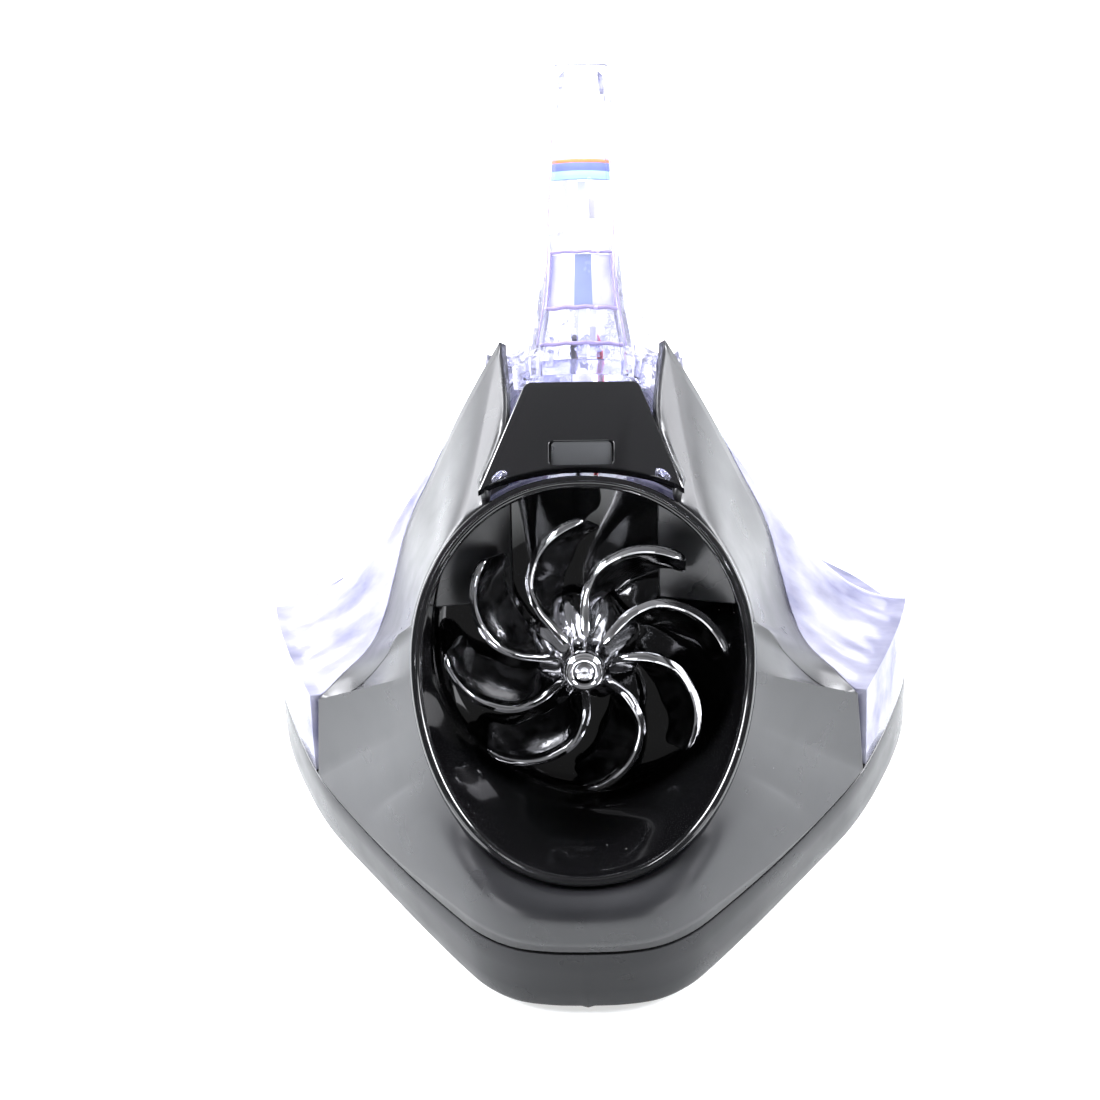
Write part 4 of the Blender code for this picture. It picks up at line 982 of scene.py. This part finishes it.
def build_wing(side, name):
    rows = []
    across_steps, along = 84, 96
    for i in range(along + 1):
        back = (i / along) ** 1.25
        row = [wing_point(j / across_steps, back) for j in range(across_steps + 1)]
        first, last = row[0], row[-1]
        drop = min(2.2, first.z - PARTING_Z - GAP)
        row.insert(0, first - Vector((0, 0, drop)))
        bottom = PARTING_Z + GAP / 2
        row += [Vector((last.x, last.y, last.z + (bottom - last.z) * k / 6)) for k in range(1, 7)]
        rows.append([Vector((side * p.x, p.y, p.z)) for p in row])
    wing = thick("wing_%s_lens" % name, rows, WING_WALL, flip=side < 0)
    dress(wing, "clear_plastic_wing", "housing", ["wing_lens_" + name], 40)

    rows = []
    for i in range(31):
        back = (i / 30) ** 1.25 * 0.96
        row = []
        for j in range(29):
            across = 0.02 + 0.94 * j / 28
            p = wing_point(across, max(back, 0.012), 3.0)
            row.append(Vector((side * (p.x - 0.8), p.y, max(p.z, PARTING_Z + 0.6))))
        last = row[-1]
        row.append(Vector((last.x - side * 0.4, last.y, PARTING_Z + 0.6)))
        rows.append(row)
    backing = thick("wing_%s_backing" % name, rows, 0.5, flip=side < 0)
    dress(backing, "lens_backing", "housing", sharp=40)


def fin_row(y):
    top = value_at(FIN_TOP_KEYS, y)
    seam = value_at(SEAM_KEYS, y) - GAP
    low = skin_z(seam_share(y), y)
    if y < 67.4:
        close = 1 - ease((y - 66) / 1.4)
        seam += (min(seam, 9.6 + (y - 58.8) * 0.1) - seam) * close
        low += (min(low, 66.9 + (y - 58.8) * 0.3) - low) * close
    thin = min(value_at(FIN_HALF_KEYS, y), seam * 0.74)
    wide = min(thin + min(0.15 * max(top - low, 0), 4.2), seam * 0.86)
    root = min(low + 1.5, top - 0.6)
    depth = top - root
    half = [(0, top), (thin * 0.45, top), (thin * 0.8, top - 0.04), (thin * 0.94, top - min(0.16, depth / 8)),
            (thin, top - min(0.55, depth / 3))]
    for share in (0.15, 0.3, 0.5, 0.7, 0.85):
        half.append((thin + (wide - thin) * share ** 1.6,
                     top - min(0.55, depth / 3) + (root + 0.105 * depth - top) * share))
    half += [(wide, root + 0.105 * depth),
             ((wide * 1.3 + seam * 0.7) / 2, low + 0.55 * (root - low) + 0.3),
             ((wide + seam * 1.6) / 2.6, low + 0.25 * (root - low)),
             (seam, low), (seam, low - 0.8), (seam, low - 1.6)]
    return [Vector((-x, y, z)) for x, z in reversed(half[1:])] + [Vector((x, y, z)) for x, z in half]


def build_fin():
    places = [58.8 + (92.6 - 58.8) * i / 44 for i in range(45)]
    places += [93, 93.6, 94.2, 94.7, 95, 95.4, 95.9, 96.4, 96.9, 97.3, 97.7, 98.1, 98.6, 99.2, 100]
    places += [100 + (LENGTH - TAIL_INSET - 100) * i / 24 for i in range(1, 25)]
    fin = thick("fin_lens_shell", [fin_row(y) for y in places], FIN_WALL)
    dress(fin, "clear_plastic", "housing", ["fin_lens"], 35)
    build_fin_insides()


def fin_strip(name, span, below, share, finish, x0=-1.0, x1=1.0, steps=8):
    """A thin moulded strip following the inside of the fin's leading face, over a span of y."""
    rings = []
    for k in range(steps + 1):
        y = span[0] + (span[1] - span[0]) * k / steps
        half = (value_at(FIN_HALF_KEYS, y) - 1.0) * share
        end = 0.75 if k in (0, steps) else 1.0
        ring = []
        for x in [x0 + (x1 - x0) * i / 10 for i in range(11)]:
            sag = 0.35 * x * x * half / 5
            ring.append(Vector((half * x, y, fin_crest(y, below) - sag + 0.3 * (end - 1))))
        ring += [p - Vector((0, -0.25, 0.45 * end)) for p in reversed(ring)]
        rings.append(ring)
    dress(loft(name, rings), finish, "housing", sharp=50)


def build_fin_insides():
    """Moulded steps, a framed window and the front light's cup just behind the fin's leading face."""
    # The step inside the fin is moulded; its amber, blue and pale colours are painted refraction fringes.
    fin_strip("fin_step_amber", (83.1, 83.55), 1.75, 1.02, "step_refraction_amber", steps=2)
    fin_strip("fin_step_blue", (82.1, 83.1), 1.75, 1.02, "step_refraction_blue", steps=3)
    fin_strip("fin_step_pale", (81.1, 82.1), 1.75, 1.02, "step_refraction_pale", steps=3)
    fin_strip("fin_window_left", FIN_WINDOW, 1.75, 1.0, "window_lilac", x0=-1.0, x1=-0.2)
    fin_strip("fin_window_middle", FIN_WINDOW, 1.75, 1.0, "window_grey", x0=-0.2, x1=0.32)
    fin_strip("fin_window_right", FIN_WINDOW, 1.75, 1.0, "window_lilac", x0=0.32, x1=1.0)
    fin_strip("fin_step_middle", (61.6, FIN_WINDOW[0]), 1.9, 1.0, "clear_plastic_thick", x0=-0.12, x1=0.42)
    # Moulded step lines drawn as lilac bars: the steps are real, their colour is painted refraction in the
    # clear plastic.
    for number, (y, size) in enumerate(((66.2, 0.32), (62.6, 0.3), (72.3, 0.22)), 1):
        half = value_at(FIN_HALF_KEYS, y) - 1.1
        path = [Vector((x, y + 0.12 * math.sin(2.1 * x), fin_crest(y, 1.5) - 0.012 * x * x))
                for x in [half * (k / 10 - 1) for k in range(21)]]
        bar = tube("fin_step_%d" % number, path, size, 12)
        dress(bar, "lens_line_painted_refraction", "housing", sharp=0)
    for side, side_name in ((-1, "left"), (1, "right")):
        # Lilac lines along the fin's rounded edges and the window's sides: painted refraction.
        for name, low, span, steps, inset, below, radius in (
                ("fin_edge_refraction_line_", 62, 26, 30, 0.75, 1.0, 0.10),
                ("fin_window_edge_", 66.4, 5.8, 8, 1.15, 1.9, 0.20)):
            path = [Vector((side * (value_at(FIN_HALF_KEYS, y) - inset), y, fin_crest(y, below)))
                    for y in [low + span * k / steps for k in range(steps + 1)]]
            dress(tube(name + side_name, path, radius, 8), "lens_line_painted_refraction", "housing", sharp=0)
    fin_strip("fin_cup", (58.9, 61.6), 2.4, 0.98, "clear_plastic_thick")
    dots = random.Random(4)
    for number in range(1, 19):
        y = 58.9 + 3.2 * dots.random()
        x = (value_at(FIN_HALF_KEYS, y) - 1.9) * (2 * dots.random() - 1)
        size = 0.25 + 0.4 * dots.random()
        middle = Vector((x, y + 1.4, fin_crest(y, 0.4)))
        profile = [(0, size), (0.6 * size, 0.8 * size), (size, 0), (0.6 * size, -0.8 * size), (0, -size)]
        bubble = lathe("fin_bubble_%d" % number, profile, Matrix.Translation(middle), 16)
        dress(bubble, "clear_plastic_thick", "housing", sharp=0)


def fin_crest(y, below):
    return value_at(FIN_TOP_KEYS, y) - below


# -------- turbine

def sheet_point(r, depth):
    """Middle of the blade whose tip points up; depth runs back from its front edge, in millimetres."""
    share = depth / BLADE_CHORD
    reach = (r - BLADE_ROOT) / (ROTOR_RADIUS - BLADE_ROOT)
    turn = math.radians(value_at(SWEEP_KEYS, r) - 45)
    radius = max(r - 2.5 * reach * share, 2.2)
    lean = value_at(SCOOP_KEYS, r) * share
    front = value_at([(BLADE_ROOT, 3.4), (5.0, 1.2), (8.4, 0.1), (ROTOR_RADIUS, 0)], r)
    return polar(radius, turn + lean / radius, front - (BLADE_CHORD + front) * share)


# One side of a blade's section, front to rear, as (depth, half thickness): a rolled front edge on thin sheet
BLADE_SECTION = [(-0.1, 0.0), (-0.08, 0.44), (0.06, 0.62), (0.34, 0.64), (0.58, 0.46), (0.78, 0.22),
                 (1.1, 0.15), (1.8, 0.14), (2.6, 0.14), (3.4, 0.14), (4.2, 0.14), (4.6, 0.2), (4.85, 0.24),
                 (4.98, 0.12)]


def blade_ring(r, squeeze=1.0):
    ring = []
    for side, section in ((1, BLADE_SECTION), (-1, BLADE_SECTION[:0:-1])):
        for depth, half in section:
            depth = 2.4 + (depth - 2.4) * (0.55 + 0.45 * squeeze)
            middle = sheet_point(r, depth)
            along = sheet_point(r + 0.1, depth) - sheet_point(r - 0.1, depth)
            down = sheet_point(r, depth + 0.1) - sheet_point(r, depth - 0.1)
            across = along.cross(down).normalized()
            ring.append(middle + across * half * side * squeeze)
    return ring


def build_turbine():
    radii = [2.3 + (19.7 - 2.3) * i / 46 for i in range(47)]
    base = [blade_ring(r) for r in radii]
    base += [blade_ring(r, squeeze) for r, squeeze in ((20.0, 0.86), (20.2, 0.6), (20.28, 0.3))]
    for number in range(BLADES):
        turn = Matrix.Rotation(-2 * math.pi * number / BLADES, 3, AHEAD)
        rings = [[ROTOR_CENTRE + turn @ (p - ROTOR_CENTRE) for p in ring] for ring in base]
        blade = loft("turbine_blade_%d" % (number + 1), rings)
        dress(blade, "chrome", "rotor", ["turbine_rotor"] if number == 0 else (), 40)

    profile = [(1.62, 7.45), (2.05, 7.6), (2.45, 7.5), (2.8, 7.1), (3.02, 6.4), (3.1, 5.4), (3.12, 4.4),
               (3.3, 3.4), (3.8, 2.4), (4.6, 1.2), (5.6, -0.3), (6.7, -2.0), (7.5, -3.6), (7.9, -5.0),
               (8.0, -6.2), (7.7, -6.5), (1.1, -6.5), (1.1, 2.2), (1.62, 2.2)]

    def petals(angle, height):
        depth = 0.1 * ease((3.4 - height) / 5.0) * (1 if height > -6.3 else 0.6)
        swing = angle * BLADES + math.pi * 0.15
        return 1 - depth * (0.5 + 0.5 * math.cos(swing))

    hub = lathe("turbine_hub", profile, rotor_place(), 192, petals)
    dress(hub, "chrome", "rotor", sharp=35)
    ring_profile = [(2.3, 7.75), (2.42, 7.62), (2.3, 7.45), (1.95, 7.45), (1.85, 7.62), (1.97, 7.75)]
    collar = lathe("turbine_nose_ring", ring_profile, rotor_place(), 64)
    dress(collar, "chrome", "rotor", sharp=40)


# -------- build

make_finishes()
look_camera()
build_stage()
dress_cad_nodes()
build_tray()
build_cowl()
build_duct()
build_fascia()
for side_sign, side_name in ((1, "right"), (-1, "left")):
    build_wing(side_sign, side_name)
build_fin()
build_turbine()
